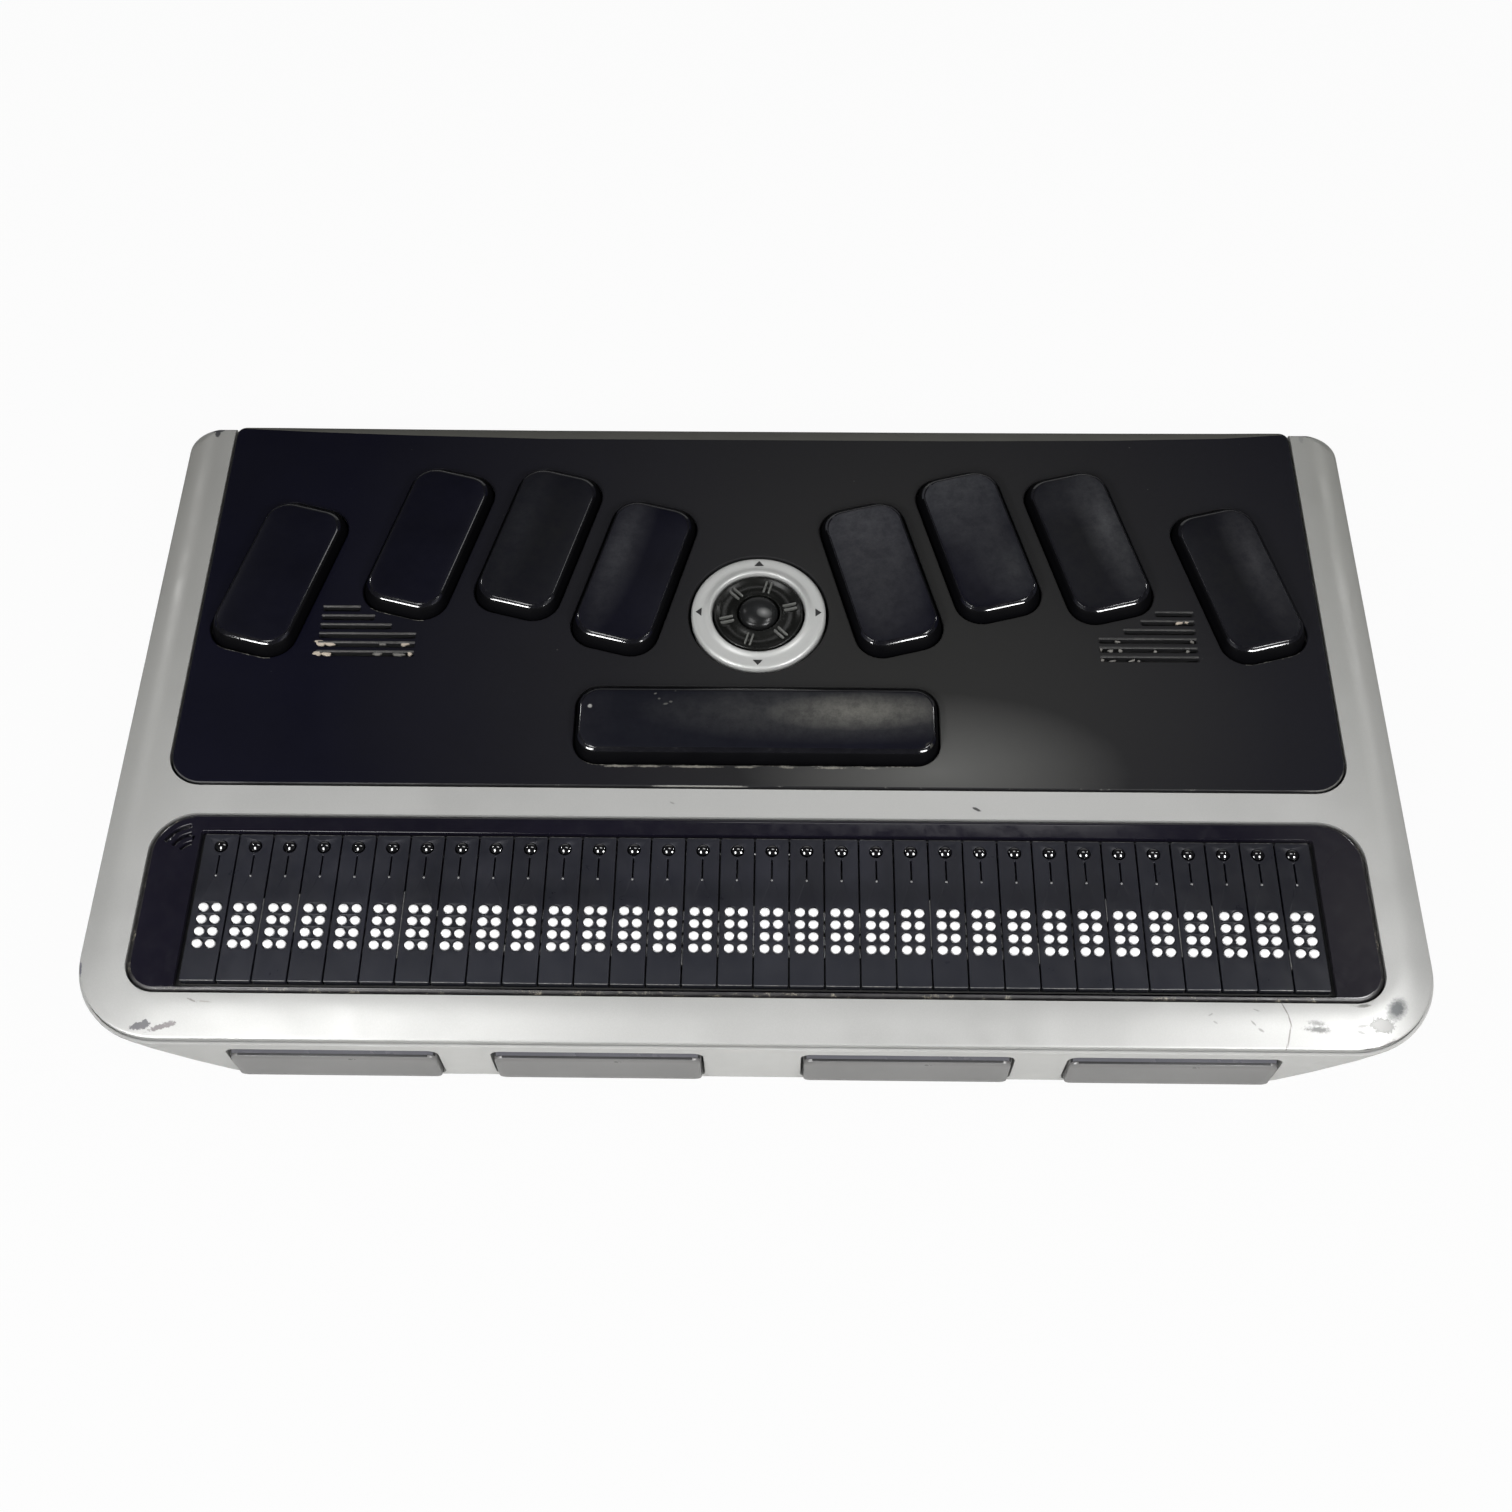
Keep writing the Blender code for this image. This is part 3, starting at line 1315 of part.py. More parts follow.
def build_power_switch():
    """A slider through the rear wall with a flange inside it, in front of its housing."""
    half = SWITCH_WIDTH / 2
    lap = SWITCH_FLANGE_LAP
    x = SWITCH_X - SWITCH_TRAVEL / 2
    knob_rear = REAR_Y - SWITCH_TIP_INSET - SWITCH_FLANGE_REAR
    half_height = SWITCH_HEIGHT / 2
    knob_span = (-SWITCH_FLANGE_THICKNESS / 2, knob_rear)
    knob = span_box("knob", (-half, half), knob_span, (-half_height, half_height))
    flange = span_box(
        "power_switch",
        (-half - lap, half + lap),
        (-SWITCH_FLANGE_THICKNESS, -FIT_GAP),
        (-half_height - lap, half_height + lap),
    )
    slider = join(flange, knob)
    slider.name = "power_switch"
    finish(slider, plain_black(), (x, SWITCH_FLANGE_REAR, SWITCH_Z))
    housing_rear = SWITCH_FLANGE_REAR - SWITCH_FLANGE_THICKNESS - FIT_GAP
    half_x = (SWITCH_WIDTH + SWITCH_TRAVEL) / 2 + lap
    half_z = SWITCH_HEIGHT / 2 + lap
    housing = span_box(
        "switch_housing",
        (SWITCH_X - half_x, SWITCH_X + half_x),
        (housing_rear - SWITCH_HOUSING_DEPTH, housing_rear),
        (SWITCH_Z - half_z, SWITCH_Z + half_z),
    )
    finish(housing, steel())


# Feet and screws


def build_feet():
    names = ("front_left_foot", "front_right_foot", "rear_left_foot", "rear_right_foot")
    top = CASE_BOTTOM + FOOT_SEAT - FIT_GAP
    for name, (x, y) in zip(names, foot_places()):
        foot = rod(name, (0.0, 0.0), FOOT_RADIUS, 0.0, top, FOOT_SIDES)
        finish(foot, rubber(), (x, y, 0.0), 0.0, math.radians(30.0))


def build_screws():
    names = ("front_left_screw", "front_right_screw", "rear_left_screw", "rear_right_screw")
    tip = FLANGE_TOP - screw_head_low()
    for name, (x, y) in zip(names, boss_places()):
        head = rod(name, (0.0, 0.0), SCREW_HEAD_RADIUS, 0.0, SCREW_HEAD_HEIGHT, SCREW_SIDES)
        shaft = rod("shaft", (0.0, 0.0), SCREW_SHAFT_RADIUS, SCREW_HEAD_HEIGHT / 2, tip, SCREW_SIDES)
        screw = join(head, shaft)
        screw.name = name
        finish(screw, steel(), (x, y, screw_head_low()), 0.0, math.radians(30.0))


def main():
    clear_scene()
    make_collection(COLLECTION_NAME)
    build_bottom_case()
    build_top_frame()
    build_keyboard_panel()
    build_braille_bezel()
    build_keys()
    build_nav_ring()
    build_nav_carrier()
    build_scroll_wheel()
    build_select_button()
    build_wheel_encoder()
    build_cell_caps()
    build_pins()
    build_routing_buttons()
    build_cell_frame()
    build_piezo_reeds()
    build_cell_backplane()
    build_thumb_keys()
    build_thumb_board()
    build_key_board()
    build_key_mat()
    build_main_board()
    build_battery()
    build_speakers()
    build_microphone()
    build_sockets()
    build_power_switch()
    build_feet()
    build_screws()


main()
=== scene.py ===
"""Looks of the braille notetaker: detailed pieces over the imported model, materials, studio and camera.

Lengths are in millimetres, except in the studio at the end, which is laid out in metres.
"""

import math

import bmesh
import bpy
from mathutils import Matrix, Vector


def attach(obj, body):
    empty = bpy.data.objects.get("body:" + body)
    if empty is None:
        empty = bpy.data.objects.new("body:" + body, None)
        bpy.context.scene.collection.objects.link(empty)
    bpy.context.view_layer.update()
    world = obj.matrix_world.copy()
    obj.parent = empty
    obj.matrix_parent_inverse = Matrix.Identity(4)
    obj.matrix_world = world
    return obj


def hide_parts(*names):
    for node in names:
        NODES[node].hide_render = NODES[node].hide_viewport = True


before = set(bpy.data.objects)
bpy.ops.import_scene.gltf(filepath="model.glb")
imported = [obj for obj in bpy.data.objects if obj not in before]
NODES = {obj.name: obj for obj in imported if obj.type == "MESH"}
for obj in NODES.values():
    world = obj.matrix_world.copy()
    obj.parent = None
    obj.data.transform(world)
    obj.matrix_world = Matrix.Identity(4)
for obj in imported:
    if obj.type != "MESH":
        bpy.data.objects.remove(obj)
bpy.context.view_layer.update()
MM = 0.001
QUARTER = math.pi / 2
# Turns what is drawn as (x, height), and raised along Z, so that its top faces the front
TO_FRONT = Matrix(((1, 0, 0, 0), (0, 0, -1, 0), (0, 1, 0, 0), (0, 0, 0, 1)))


# Outlines: lists of (x, y)


def rounded_loop(left, right, front, rear, radii, steps=12):
    """A rectangle with round corners: one radius, or one each for front left, front right, rear right, rear left."""
    if isinstance(radii, float):
        radii = (radii,) * 4
    corners = ((left, front, 1, 1), (right, front, -1, 1), (right, rear, -1, -1), (left, rear, 1, -1))
    points = []
    for turn, ((x, y, side_x, side_y), radius) in enumerate(zip(corners, radii)):
        for step in range(steps + 1):
            angle = QUARTER * (turn + 2 + step / steps)
            points.append((x + radius * (side_x + math.cos(angle)), y + radius * (side_y + math.sin(angle))))
    return points


def centred_loop(width, depth, radius, steps=12):
    return rounded_loop(-width / 2, width / 2, -depth / 2, depth / 2, radius, steps)


def circle_loop(x, y, radius, steps=24):
    angles = [2 * math.pi * k / steps for k in range(steps)]
    return [(x + radius * math.cos(angle), y + radius * math.sin(angle)) for angle in angles]


def arc_slot(x, y, radius, width, start, sweep, steps=12):
    """A slot along an arc, which starts at an angle in degrees and sweeps over another."""
    angles = [math.radians(start + sweep * k / steps) for k in range(steps + 1)]
    sides = []
    for reach in (radius - width / 2, radius + width / 2):
        sides.append([(x + reach * math.cos(angle), y + reach * math.sin(angle)) for angle in angles])
    return sides[0] + sides[1][::-1]


def moved(loop, x, y, lean=0.0):
    cos, sin = math.cos(lean), math.sin(lean)
    return [(x + cos * px - sin * py, y + sin * px + cos * py) for px, py in loop]


def at_height(loop, z):
    return [(x, y, z) for x, y in loop]


def dome_profile(radius, base, rise, steps):
    """A quarter of an ellipse as (radius, height), from its pole down to its rim."""
    angles = [QUARTER * k / steps for k in range(1, steps + 1)]
    return [(0.0, base + rise)] + [(radius * math.sin(angle), base + rise * math.cos(angle)) for angle in angles]


# Meshes


def new_object(name, data):
    obj = bpy.data.objects.new(name, data)
    bpy.context.scene.collection.objects.link(obj)
    return obj


def from_bmesh(name, bm):
    mesh = bpy.data.meshes.new(name)
    bm.to_mesh(mesh)
    bm.free()
    return new_object(name, mesh)


def outward(bm):
    bmesh.ops.recalc_face_normals(bm, faces=bm.faces)
    return bm


def baked(obj):
    """The object's evaluated mesh takes the place of its curve or of its modifiers."""
    evaluated = obj.evaluated_get(bpy.context.evaluated_depsgraph_get())
    mesh = bpy.data.meshes.new_from_object(evaluated)
    name, matrix = obj.name, obj.matrix_world.copy()
    bpy.data.objects.remove(obj, do_unlink=True)
    made = new_object(name, mesh)
    made.matrix_world = matrix
    return made


def plate(name, loops, low, high, edge=0.0, segments=2):
    """A flat plate between two heights; later loops are holes, and edge rounds its rims."""
    curve = bpy.data.curves.new(name, "CURVE")
    curve.dimensions = "2D"
    curve.fill_mode = "BOTH"
    curve.extrude = ((high - low) / 2 - edge) * MM
    curve.bevel_depth = edge * MM
    curve.bevel_resolution = segments
    curve.offset = -edge * MM
    for loop in loops:
        spline = curve.splines.new("POLY")
        spline.points.add(len(loop) - 1)
        for point, (x, y) in zip(spline.points, loop):
            point.co = (x * MM, y * MM, 0.0, 1.0)
        spline.use_cyclic_u = True
    obj = baked(new_object(name, curve))
    bm = bmesh.new()
    bm.from_mesh(obj.data)
    bmesh.ops.remove_doubles(bm, verts=bm.verts, dist=0.002 * MM)
    bmesh.ops.translate(bm, verts=bm.verts, vec=(0.0, 0.0, (high + low) / 2 * MM))
    outward(bm).to_mesh(obj.data)
    bm.free()
    return obj


def upright(name, loops, low, high, x, y, edge=0.0, segments=2):
    """A plate drawn as (x, height) whose top faces the front, moved by x and y."""
    obj = plate(name, loops, low, high, edge, segments)
    obj.data.transform(Matrix.Translation((x * MM, y * MM, 0.0)) @ TO_FRONT)
    return obj


def skin(bm, pairs):
    """Faces between pairs of rows of points; where two corners are one point, a triangle or nothing."""
    for lower, upper in pairs:
        for k in range(len(lower)):
            after = (k + 1) % len(lower)
            corners = list(dict.fromkeys((lower[k], lower[after], upper[after], upper[k])))
            if len(corners) > 2:
                bm.faces.new(corners)


def loft(name, rings):
    """A skin through rings of (x, y, z) points, closed at both ends."""
    bm = bmesh.new()
    rows = [[bm.verts.new(Vector(point) * MM) for point in ring] for ring in rings]
    skin(bm, zip(rows, rows[1:]))
    bm.faces.new(rows[0][::-1])
    bm.faces.new(rows[-1])
    return from_bmesh(name, outward(bm))


def lathe(name, profile, steps=96):
    """A profile of (radius, height) turned about Z; it starts and ends at poles, or else closes on itself."""
    bm = bmesh.new()
    rows = []
    for radius, height in profile:
        ring = circle_loop(0.0, 0.0, radius, steps if radius else 1)
        row = [bm.verts.new((x * MM, y * MM, height * MM)) for x, y in ring]
        rows.append(row if radius else row * steps)
    pairs = list(zip(rows, rows[1:]))
    if profile[0][0]:
        pairs.append((rows[-1], rows[0]))
    skin(bm, pairs)
    return from_bmesh(name, outward(bm))


def block(name, x_span, y_span, z_span, edge=0.0, segments=2):
    """A box between spans with its edges rounded."""
    bm = bmesh.new()
    bmesh.ops.create_cube(bm, size=1.0)
    spans = (x_span, y_span, z_span)
    bmesh.ops.scale(bm, verts=bm.verts, vec=[(high - low) * MM for low, high in spans])
    bmesh.ops.translate(bm, verts=bm.verts, vec=[(high + low) / 2 * MM for low, high in spans])
    if edge:
        bmesh.ops.bevel(bm, geom=bm.edges, offset=edge * MM, segments=segments, profile=0.5, affect="EDGES")
    return from_bmesh(name, outward(bm))


def merged(name, objects):
    """Several closed shapes as one mesh, placed as they stand."""
    bpy.context.view_layer.update()
    bm = bmesh.new()
    for obj in objects:
        obj.data.transform(obj.matrix_world)
        bm.from_mesh(obj.data)
        bpy.data.objects.remove(obj, do_unlink=True)
    return from_bmesh(name, bm)


def cut(obj, cutter):
    step = obj.modifiers.new("cut", "BOOLEAN")
    step.operation = "DIFFERENCE"
    step.solver = "EXACT"
    step.object = cutter
    result = baked(obj)
    bpy.data.objects.remove(cutter, do_unlink=True)
    return result


def soft_edges(obj, width, angle):
    """Rounds the edges that turn by more than an angle in degrees."""
    step = obj.modifiers.new("edges", "BEVEL")
    step.width = width * MM
    step.segments = 2
    step.limit_method = "ANGLE"
    step.angle_limit = math.radians(angle)
    step.use_clamp_overlap = True
    return baked(obj)


def place(obj, surfaces, node=None, body="case", at=(0.0, 0.0, 0.0), lean=0.0, sharp=40.0, weighted=True):
    """Gives a piece its materials and its place, and ties it to its body and to the node it stands for."""
    obj.data.materials.clear()
    for surface in surfaces:
        obj.data.materials.append(surface)
    obj.location = [value * MM for value in at]
    obj.rotation_euler = (0.0, 0.0, lean)
    obj.data.shade_smooth()
    obj.data.set_sharp_from_angle(angle=math.radians(sharp))
    if weighted:
        step = obj.modifiers.new("normals", "WEIGHTED_NORMAL")
        step.mode = "FACE_AREA"
        step.weight = 50
        step.keep_sharp = True
    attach(obj, body)
    if node:
        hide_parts(node)


def rub(obj, index, test):
    """Faces take another of the piece's materials where test holds for x, y, z and the normal."""
    for polygon in obj.data.polygons:
        if test(*(value / MM for value in polygon.center), polygon.normal):
            polygon.material_index = index


# Materials


def add_node(tree, kind, inputs, **settings):
    """A shader node; each input is a plain value, or the output of another node."""
    node = tree.nodes.new("ShaderNode" + kind)
    for name, value in settings.items():
        setattr(node, name, value)
    feed(tree, node, inputs)
    return node


def feed(tree, node, inputs):
    for key, value in inputs.items():
        socket = node.inputs[key]
        if isinstance(value, bpy.types.NodeSocket):
            tree.links.new(value, socket)
        else:
            socket.default_value = (*value, 1.0) if socket.type == "RGBA" else value


# The stretch of a noise's values that is spread over a whole range
MIDDLE = (0.3, 0.7)


class Surface:
    """Builds a node material step by step round one Principled shader."""

    def __init__(self, name, colour, roughness, specular=0.5, metallic=0.0, coat=0.0, ior=1.5):
        self.material = bpy.data.materials.new(name)
        self.material.use_nodes = True
        self.tree = self.material.node_tree
        self.colour = colour
        self.place = self.add("TexCoord", {}).outputs["Object"]
        self.shade(**{
            "Base Color": colour, "Roughness": roughness, "Specular IOR Level": specular, "Metallic": metallic,
            "Coat Weight": coat, "IOR": ior,
        })

    def shade(self, **inputs):
        feed(self.tree, self.tree.nodes["Principled BSDF"], inputs)

    def add(self, kind, inputs, **settings):
        return add_node(self.tree, kind, inputs, **settings)

    def noise(self, scale, detail, roughness, distortion=0.0, stretch=None):
        source = self.place
        if stretch:
            source = self.add("Mapping", {"Vector": source, "Scale": stretch}).outputs["Vector"]
        inputs = {"Scale": scale, "Detail": detail, "Roughness": roughness, "Distortion": distortion, "Vector": source}
        return self.add("TexNoise", inputs).outputs["Fac"]

    def span(self, value, low, high, out_low=0.0, out_high=1.0):
        inputs = {"Value": value, "From Min": low, "From Max": high, "To Min": out_low, "To Max": out_high}
        return self.add("MapRange", inputs).outputs["Result"]

    def math(self, operation, first, second):
        return self.add("Math", {0: first, 1: second}, operation=operation).outputs["Value"]

    def mix(self, factor, first, second):
        return self.add("Mix", {0: factor, 6: first, 7: second}, data_type="RGBA").outputs[2]

    def uneven(self, reach, *noise):
        """Noise round zero."""
        return self.math("MULTIPLY", self.math("SUBTRACT", self.noise(*noise), 0.5), reach)

    def toned(self, factor, low, high):
        """The surface's colour times low where a factor is 0, and times high where it is 1."""
        dark, light = (tuple(value * share for value in self.colour) for share in (low, high))
        return self.mix(factor, dark, light)

    def drifting(self, low, high, *noise):
        """The surface's colour, which drifts between two shares of itself."""
        return self.toned(self.span(self.noise(*noise), *MIDDLE), low, high)

    def dusted(self, base, noise, low, high, strength, colour):
        grains = self.span(self.noise(*noise), low, high)
        return self.mix(self.math("MULTIPLY", grains, strength), base, colour)

    def marks(self, base, table, rough):
        """Lays ragged leaning ellipsoids of another colour over a base; the columns are named above FRAME_MARKS."""
        for x, y, z, half_x, half_y, half_z, lean, ragged, soft, strength, colour in table:
            inside = self.add("Mapping", {
                "Vector": self.place, "Location": (x * MM, y * MM, z * MM), "Rotation": (0, 0, math.radians(lean)),
                "Scale": (half_x * MM, half_y * MM, half_z * MM),
            }, vector_type="TEXTURE").outputs["Vector"]
            length = self.add("VectorMath", {0: inside}, operation="LENGTH").outputs["Value"]
            edge = self.math("ADD", length, self.math("MULTIPLY", rough, ragged))
            mask = self.span(edge, 1.0 + soft, 1.0 - soft)
            base = self.mix(self.math("MULTIPLY", mask, strength), base, colour)
        return base

    def finish(self, colour, gloss, relief):
        """Links colour, gloss (low, high, stretch of the noise, noise) and relief (height, strength, distance)."""
        self.shade(**{"Base Color": colour})
        if gloss:
            low, high, (start, end), *noise = gloss
            self.shade(Roughness=self.span(self.noise(*noise), start, end, low, high))
        height, strength, distance = relief
        bump = self.add("Bump", {"Strength": strength, "Distance": distance * MM, "Height": height})
        self.shade(Normal=bump.outputs["Normal"])
        return self.material


def moulded(name, colour, roughness, grain, depth, tone=0.12, spread=0.08, marks=(), **settings):
    """Moulded plastic, rubber or metal: soft drifts in tone, uneven gloss and a fine grain in the relief."""
    surface = Surface(name, colour, roughness, **settings)
    base = surface.drifting(1.0 - tone, 1.0 + tone, *MOULD_DRIFT)
    base = surface.marks(base, marks, surface.noise(*MOULD_DRIFT))
    gloss = (roughness - spread, roughness + spread, MIDDLE, 120, 5, 0.65)
    return surface.finish(base, gloss, (surface.noise(grain, 2, 0.5), 0.35, depth))


def edge_wear_and_highlight(name, dark, bare, scale, low, high, smooth=0.30, dull=0.55):
    """An edge where the black has rubbed off in places and the lighter plastic shows; on the caps and the grille rims
    its lighter base colour is a painted highlight.
    """
    surface = Surface(name, dark, 0.40)
    rubbed = surface.span(surface.noise(scale, 5, 0.75, 0.3), low, high)
    fine = surface.span(surface.noise(scale * 5, 3, 0.7), 0.4, 0.62)
    base = surface.mix(surface.math("MULTIPLY", rubbed, fine), dark, bare)
    return surface.finish(base, (smooth, dull, MIDDLE, 400, 3, 0.6), (rubbed, 0.3, 0.02))


# The slow drift in the tone of moulded pieces
MOULD_DRIFT = (45, 4, 0.6)

# Marks on the painted frame. The columns of every table of marks are the centre (x, y, z), the half sizes (x, y, z),
# the lean in degrees, raggedness, softness, strength and colour.
BARE = (0.115, 0.113, 0.120)
PINK = (0.125, 0.112, 0.115)
DARK = (0.042, 0.046, 0.050)
SOOT = (0.05, 0.05, 0.055)
CHIP = (0.20, 0.20, 0.19)
CRACK = (0.16, 0.15, 0.14)
FRAME_MARKS = (
    (-108.3, -66.75, 16.6, 1.75, 0.62, 5, 8, 0.9, 0.12, 1, BARE),
    (-107.6, -66.3, 16.6, 0.75, 0.55, 5, 50, 0.7, 0.12, 1, BARE),
    (-104.7, -66.95, 16.6, 2.1, 0.42, 5, 16, 1.5, 0.25, 0.9, PINK),
    (-103.2, -66.5, 16.6, 1.2, 0.5, 5, 14, 1.5, 0.2, 0.9, (0.16, 0.148, 0.15)),
    (-99.6, -62.1, 17.1, 0.9, 0.16, 5, -22, 1, 0.3, 0.9, (0.22, 0.21, 0.2)),
    (-97.4, -62.3, 17.1, 1.4, 0.13, 5, -4, 1.2, 0.3, 0.7, (0.28, 0.27, 0.25)),
    (-121.6, -56.2, 15.6, 0.75, 1.9, 6, 4, 0.5, 0.1, 1, (0.13, 0.13, 0.155)),
    (113.8, -61.5, 16.9, 2, 1.35, 5, 52, 0.5, 0.42, 0.95, DARK),
    (112.3, -63, 16.8, 1.1, 0.5, 5, 30, 1, 0.4, 0.5, (0.2, 0.21, 0.2)),
    (110.8, -64.5, 16.5, 2.05, 1.35, 5, 0, 0.8, 0.1, 0.9, (0.15, 0.15, 0.145)),
    (110.85, -64.5, 16.5, 1.7, 1.05, 5, 0, 0.8, 0.12, 1, (0.23, 0.23, 0.222)),
    (108, -61, 17.1, 1.15, 0.3, 5, 6, 0.5, 0.25, 0.95, (0.15, 0.15, 0.14)),
    (106.6, -61.1, 17.1, 1.1, 0.18, 5, -8, 1, 0.4, 0.5, (0.25, 0.25, 0.24)),
    (99.3, -64.3, 16.7, 1.3, 0.4, 5, -6, 1.4, 0.5, 0.8, (0.16, 0.16, 0.155)),
    (99.4, -65.4, 16.6, 1.9, 0.46, 5, -4, 1.4, 0.5, 0.9, (0.11, 0.11, 0.107)),
    (107.4, -64.7, 16.5, 1.1, 0.26, 5, 8, 1, 0.4, 0.7, (0.2, 0.2, 0.195)),
    (106.9, -65.8, 16.3, 0.8, 0.24, 5, -20, 1, 0.4, 0.7, (0.2, 0.2, 0.195)),
    (108.2, -69.2, 15.7, 2, 0.75, 5, 6, 0.6, 0.2, 0.95, (0.13, 0.13, 0.125)),
    (111.6, -68, 15.8, 2.1, 0.62, 5, 26, 0.9, 0.25, 0.85, CHIP),
    (114.3, -66.9, 15.9, 1.6, 0.5, 5, 32, 1, 0.3, 0.75, (0.25, 0.25, 0.24)),
    (93.95, -61.7, 17, 1.25, 0.13, 5, -67.7, 0.25, 0.35, 0.85, CRACK),
    (94.6, -63.85, 17, 1.15, 0.13, 5, -79, 0.25, 0.35, 0.85, CRACK),
    (94.25, -66.6, 16.5, 1.9, 0.14, 5, -103, 0.4, 0.35, 0.8, CRACK),
    (93.5, -69, 15.8, 0.9, 0.12, 5, -103, 0.4, 0.35, 0.8, CRACK),
    (88.2, -64.4, 16.6, 0.55, 0.16, 5, -50, 0.8, 0.3, 0.8, CHIP),
    (89.4, -65.6, 16.6, 0.5, 0.22, 5, -30, 0.8, 0.3, 0.8, CHIP),
    (88.9, -62, 17, 0.6, 0.12, 5, -20, 0.8, 0.3, 0.6, CHIP),
    (80.8, -62.9, 17, 0.45, 0.16, 5, 30, 0.8, 0.3, 0.6, CHIP),
    (81.5, -64.3, 16.9, 0.4, 0.16, 5, -30, 0.8, 0.3, 0.6, CHIP),
    (41.5, -22.2, 17.2, 0.85, 0.28, 5, -28, 0.5, 0.15, 1, (0.05, 0.05, 0.05)),
    (-15.7, -21.4, 17.2, 0.5, 0.18, 5, -25, 0.5, 0.3, 0.6, CHIP),
    (-116.4, 68.9, 16.8, 1.7, 0.95, 5, -8, 0.5, 0.12, 1, SOOT),
    (-116.2, 67.6, 17, 0.55, 0.95, 5, 0, 0.5, 0.15, 1, SOOT),
    (115.8, 69, 16.8, 1.9, 0.62, 5, -8, 0.5, 0.15, 1, (0.05, 0.055, 0.05)),
    (114.6, 67.9, 17, 0.45, 1.1, 5, 0, 0.5, 0.3, 0.55, (0.2, 0.2, 0.2)),
)

# Painted shade: the paint is a little darker along the arms towards the rear, where less light falls
FRAME_PAINTED_SHADE = (
    (-122, 62, 17, 14, 66, 40, 0, 0, 0.9, 1, (0.25, 0.248, 0.233)),
    (122, 58, 17, 14, 60, 40, 0, 0, 0.9, 0.95, (0.26, 0.26, 0.242)),
)


def silver_paint():
    surface = Surface("satin_silver_paint", (0.415, 0.415, 0.405), 0.34, metallic=0.2)
    flakes = surface.add("TexVoronoi", {"Scale": 5200, "Vector": surface.place}).outputs["Distance"]
    drift = surface.noise(28, 4, 0.6)
    glint = surface.span(flakes, 0.0, 0.7, -0.10, 0.10)
    tone = surface.math("ADD", glint, surface.span(drift, *MIDDLE, 0.46, 0.54))
    base = surface.dusted(surface.toned(tone, 0.80, 1.20), (1500, 3, 0.8), 0.74, 0.80, 0.25, (0.20, 0.20, 0.20))
    # Painted shade along the arms towards the rear
    base = surface.marks(base, FRAME_PAINTED_SHADE, drift)
    base = surface.marks(base, FRAME_MARKS, surface.uneven(2.0, 2000, 4, 0.7))
    return surface.finish(base, (0.28, 0.42, MIDDLE, 60, 5, 0.7), (flakes, 0.10, 0.01))


# The left end of the case is a little darker
CASE_SHADE = ((-118, -69, 8, 34, 26, 30, 0, 0, 0.7, 0.9, (0.34, 0.34, 0.332)),)

# Painted sheen on the panel, a lamp's broad reflection, strongest to the right of the space bar
PANEL_PAINTED_SHEEN = (
    (32, 26, 17.2, 66, 66, 60, 0, 0.05, 0.85, 1, (0.0205, 0.0203, 0.02)),
    (36, -2, 17.2, 34, 24, 40, 0, 0.06, 0.95, 0.9, (0.0235, 0.0235, 0.023)),
    (34, -14, 17.2, 19, 9, 40, 0, 0.08, 0.95, 0.9, (0.112, 0.112, 0.108)),
)

# Worn dashes in front of the space bar
DASH = (0.24, 0.23, 0.20)
PANEL_DASHES = (
    (-26.5, -13.45, 17.2, 2.6, 0.22, 3, 0, 0.8, 0.3, 0.8, DASH),
    (-20.5, -13.45, 17.2, 1.9, 0.22, 3, 0, 0.8, 0.3, 0.75, DASH),
    (-11.5, -13.5, 17.2, 4.2, 0.2, 3, 0, 0.9, 0.3, 0.8, DASH),
    (-2, -13.5, 17.2, 1.8, 0.2, 3, 0, 0.9, 0.3, 0.7, DASH),
    (6, -13.5, 17.2, 1.4, 0.2, 3, 0, 0.9, 0.3, 0.6, DASH),
    (14.5, -13.55, 17.2, 2.4, 0.2, 3, 0, 0.9, 0.3, 0.8, DASH),
    (21.5, -13.55, 17.2, 1.5, 0.2, 3, 0, 0.9, 0.3, 0.6, DASH),
)


def soft_touch():
    surface = Surface("soft_touch_black", (0.0018, 0.0018, 0.0068), 0.55, specular=0.06)
    base = surface.drifting(0.85, 1.25, 22, 5, 0.65)
    # Painted sheen, strongest to the right of the space bar
    base = surface.marks(base, PANEL_PAINTED_SHEEN, surface.uneven(2.0, 150, 6, 0.8))
    base = surface.marks(base, PANEL_DASHES, surface.uneven(3.6, 1500, 4, 0.8))
    base = surface.dusted(base, (900, 2, 0.75), 0.78, 0.81, 0.5, (0.11, 0.11, 0.105))
    scuff = surface.span(surface.noise(260, 3, 0.6, 0.6, (1, 6, 1)), 0.72, 0.86, 0.0, 0.16)
    base = surface.mix(scuff, base, (0.05, 0.05, 0.052))
    return surface.finish(base, (0.46, 0.62, MIDDLE, 75, 5, 0.7), (surface.noise(3200, 2, 0.5), 0.30, 0.02))


# Rubbed stretches of the panel's front edge and corners
PANEL_EDGE_MARKS = (
    (-10.6, -18, 17.1, 8.6, 0.9, 3, 0, 0.3, 0.15, 1, (0.20, 0.20, 0.185)),
    (-106, -16.5, 17.1, 9, 2.6, 3, 0, 0.3, 0.2, 0.6, (0.09, 0.09, 0.09)),
    (-74, -18, 17.1, 12, 0.9, 3, 0, 0.5, 0.3, 0.4, (0.05, 0.05, 0.05)),
    (108, -16, 17.1, 5, 3, 3, 0, 0.5, 0.3, 0.6, (0.14, 0.14, 0.13)),
)


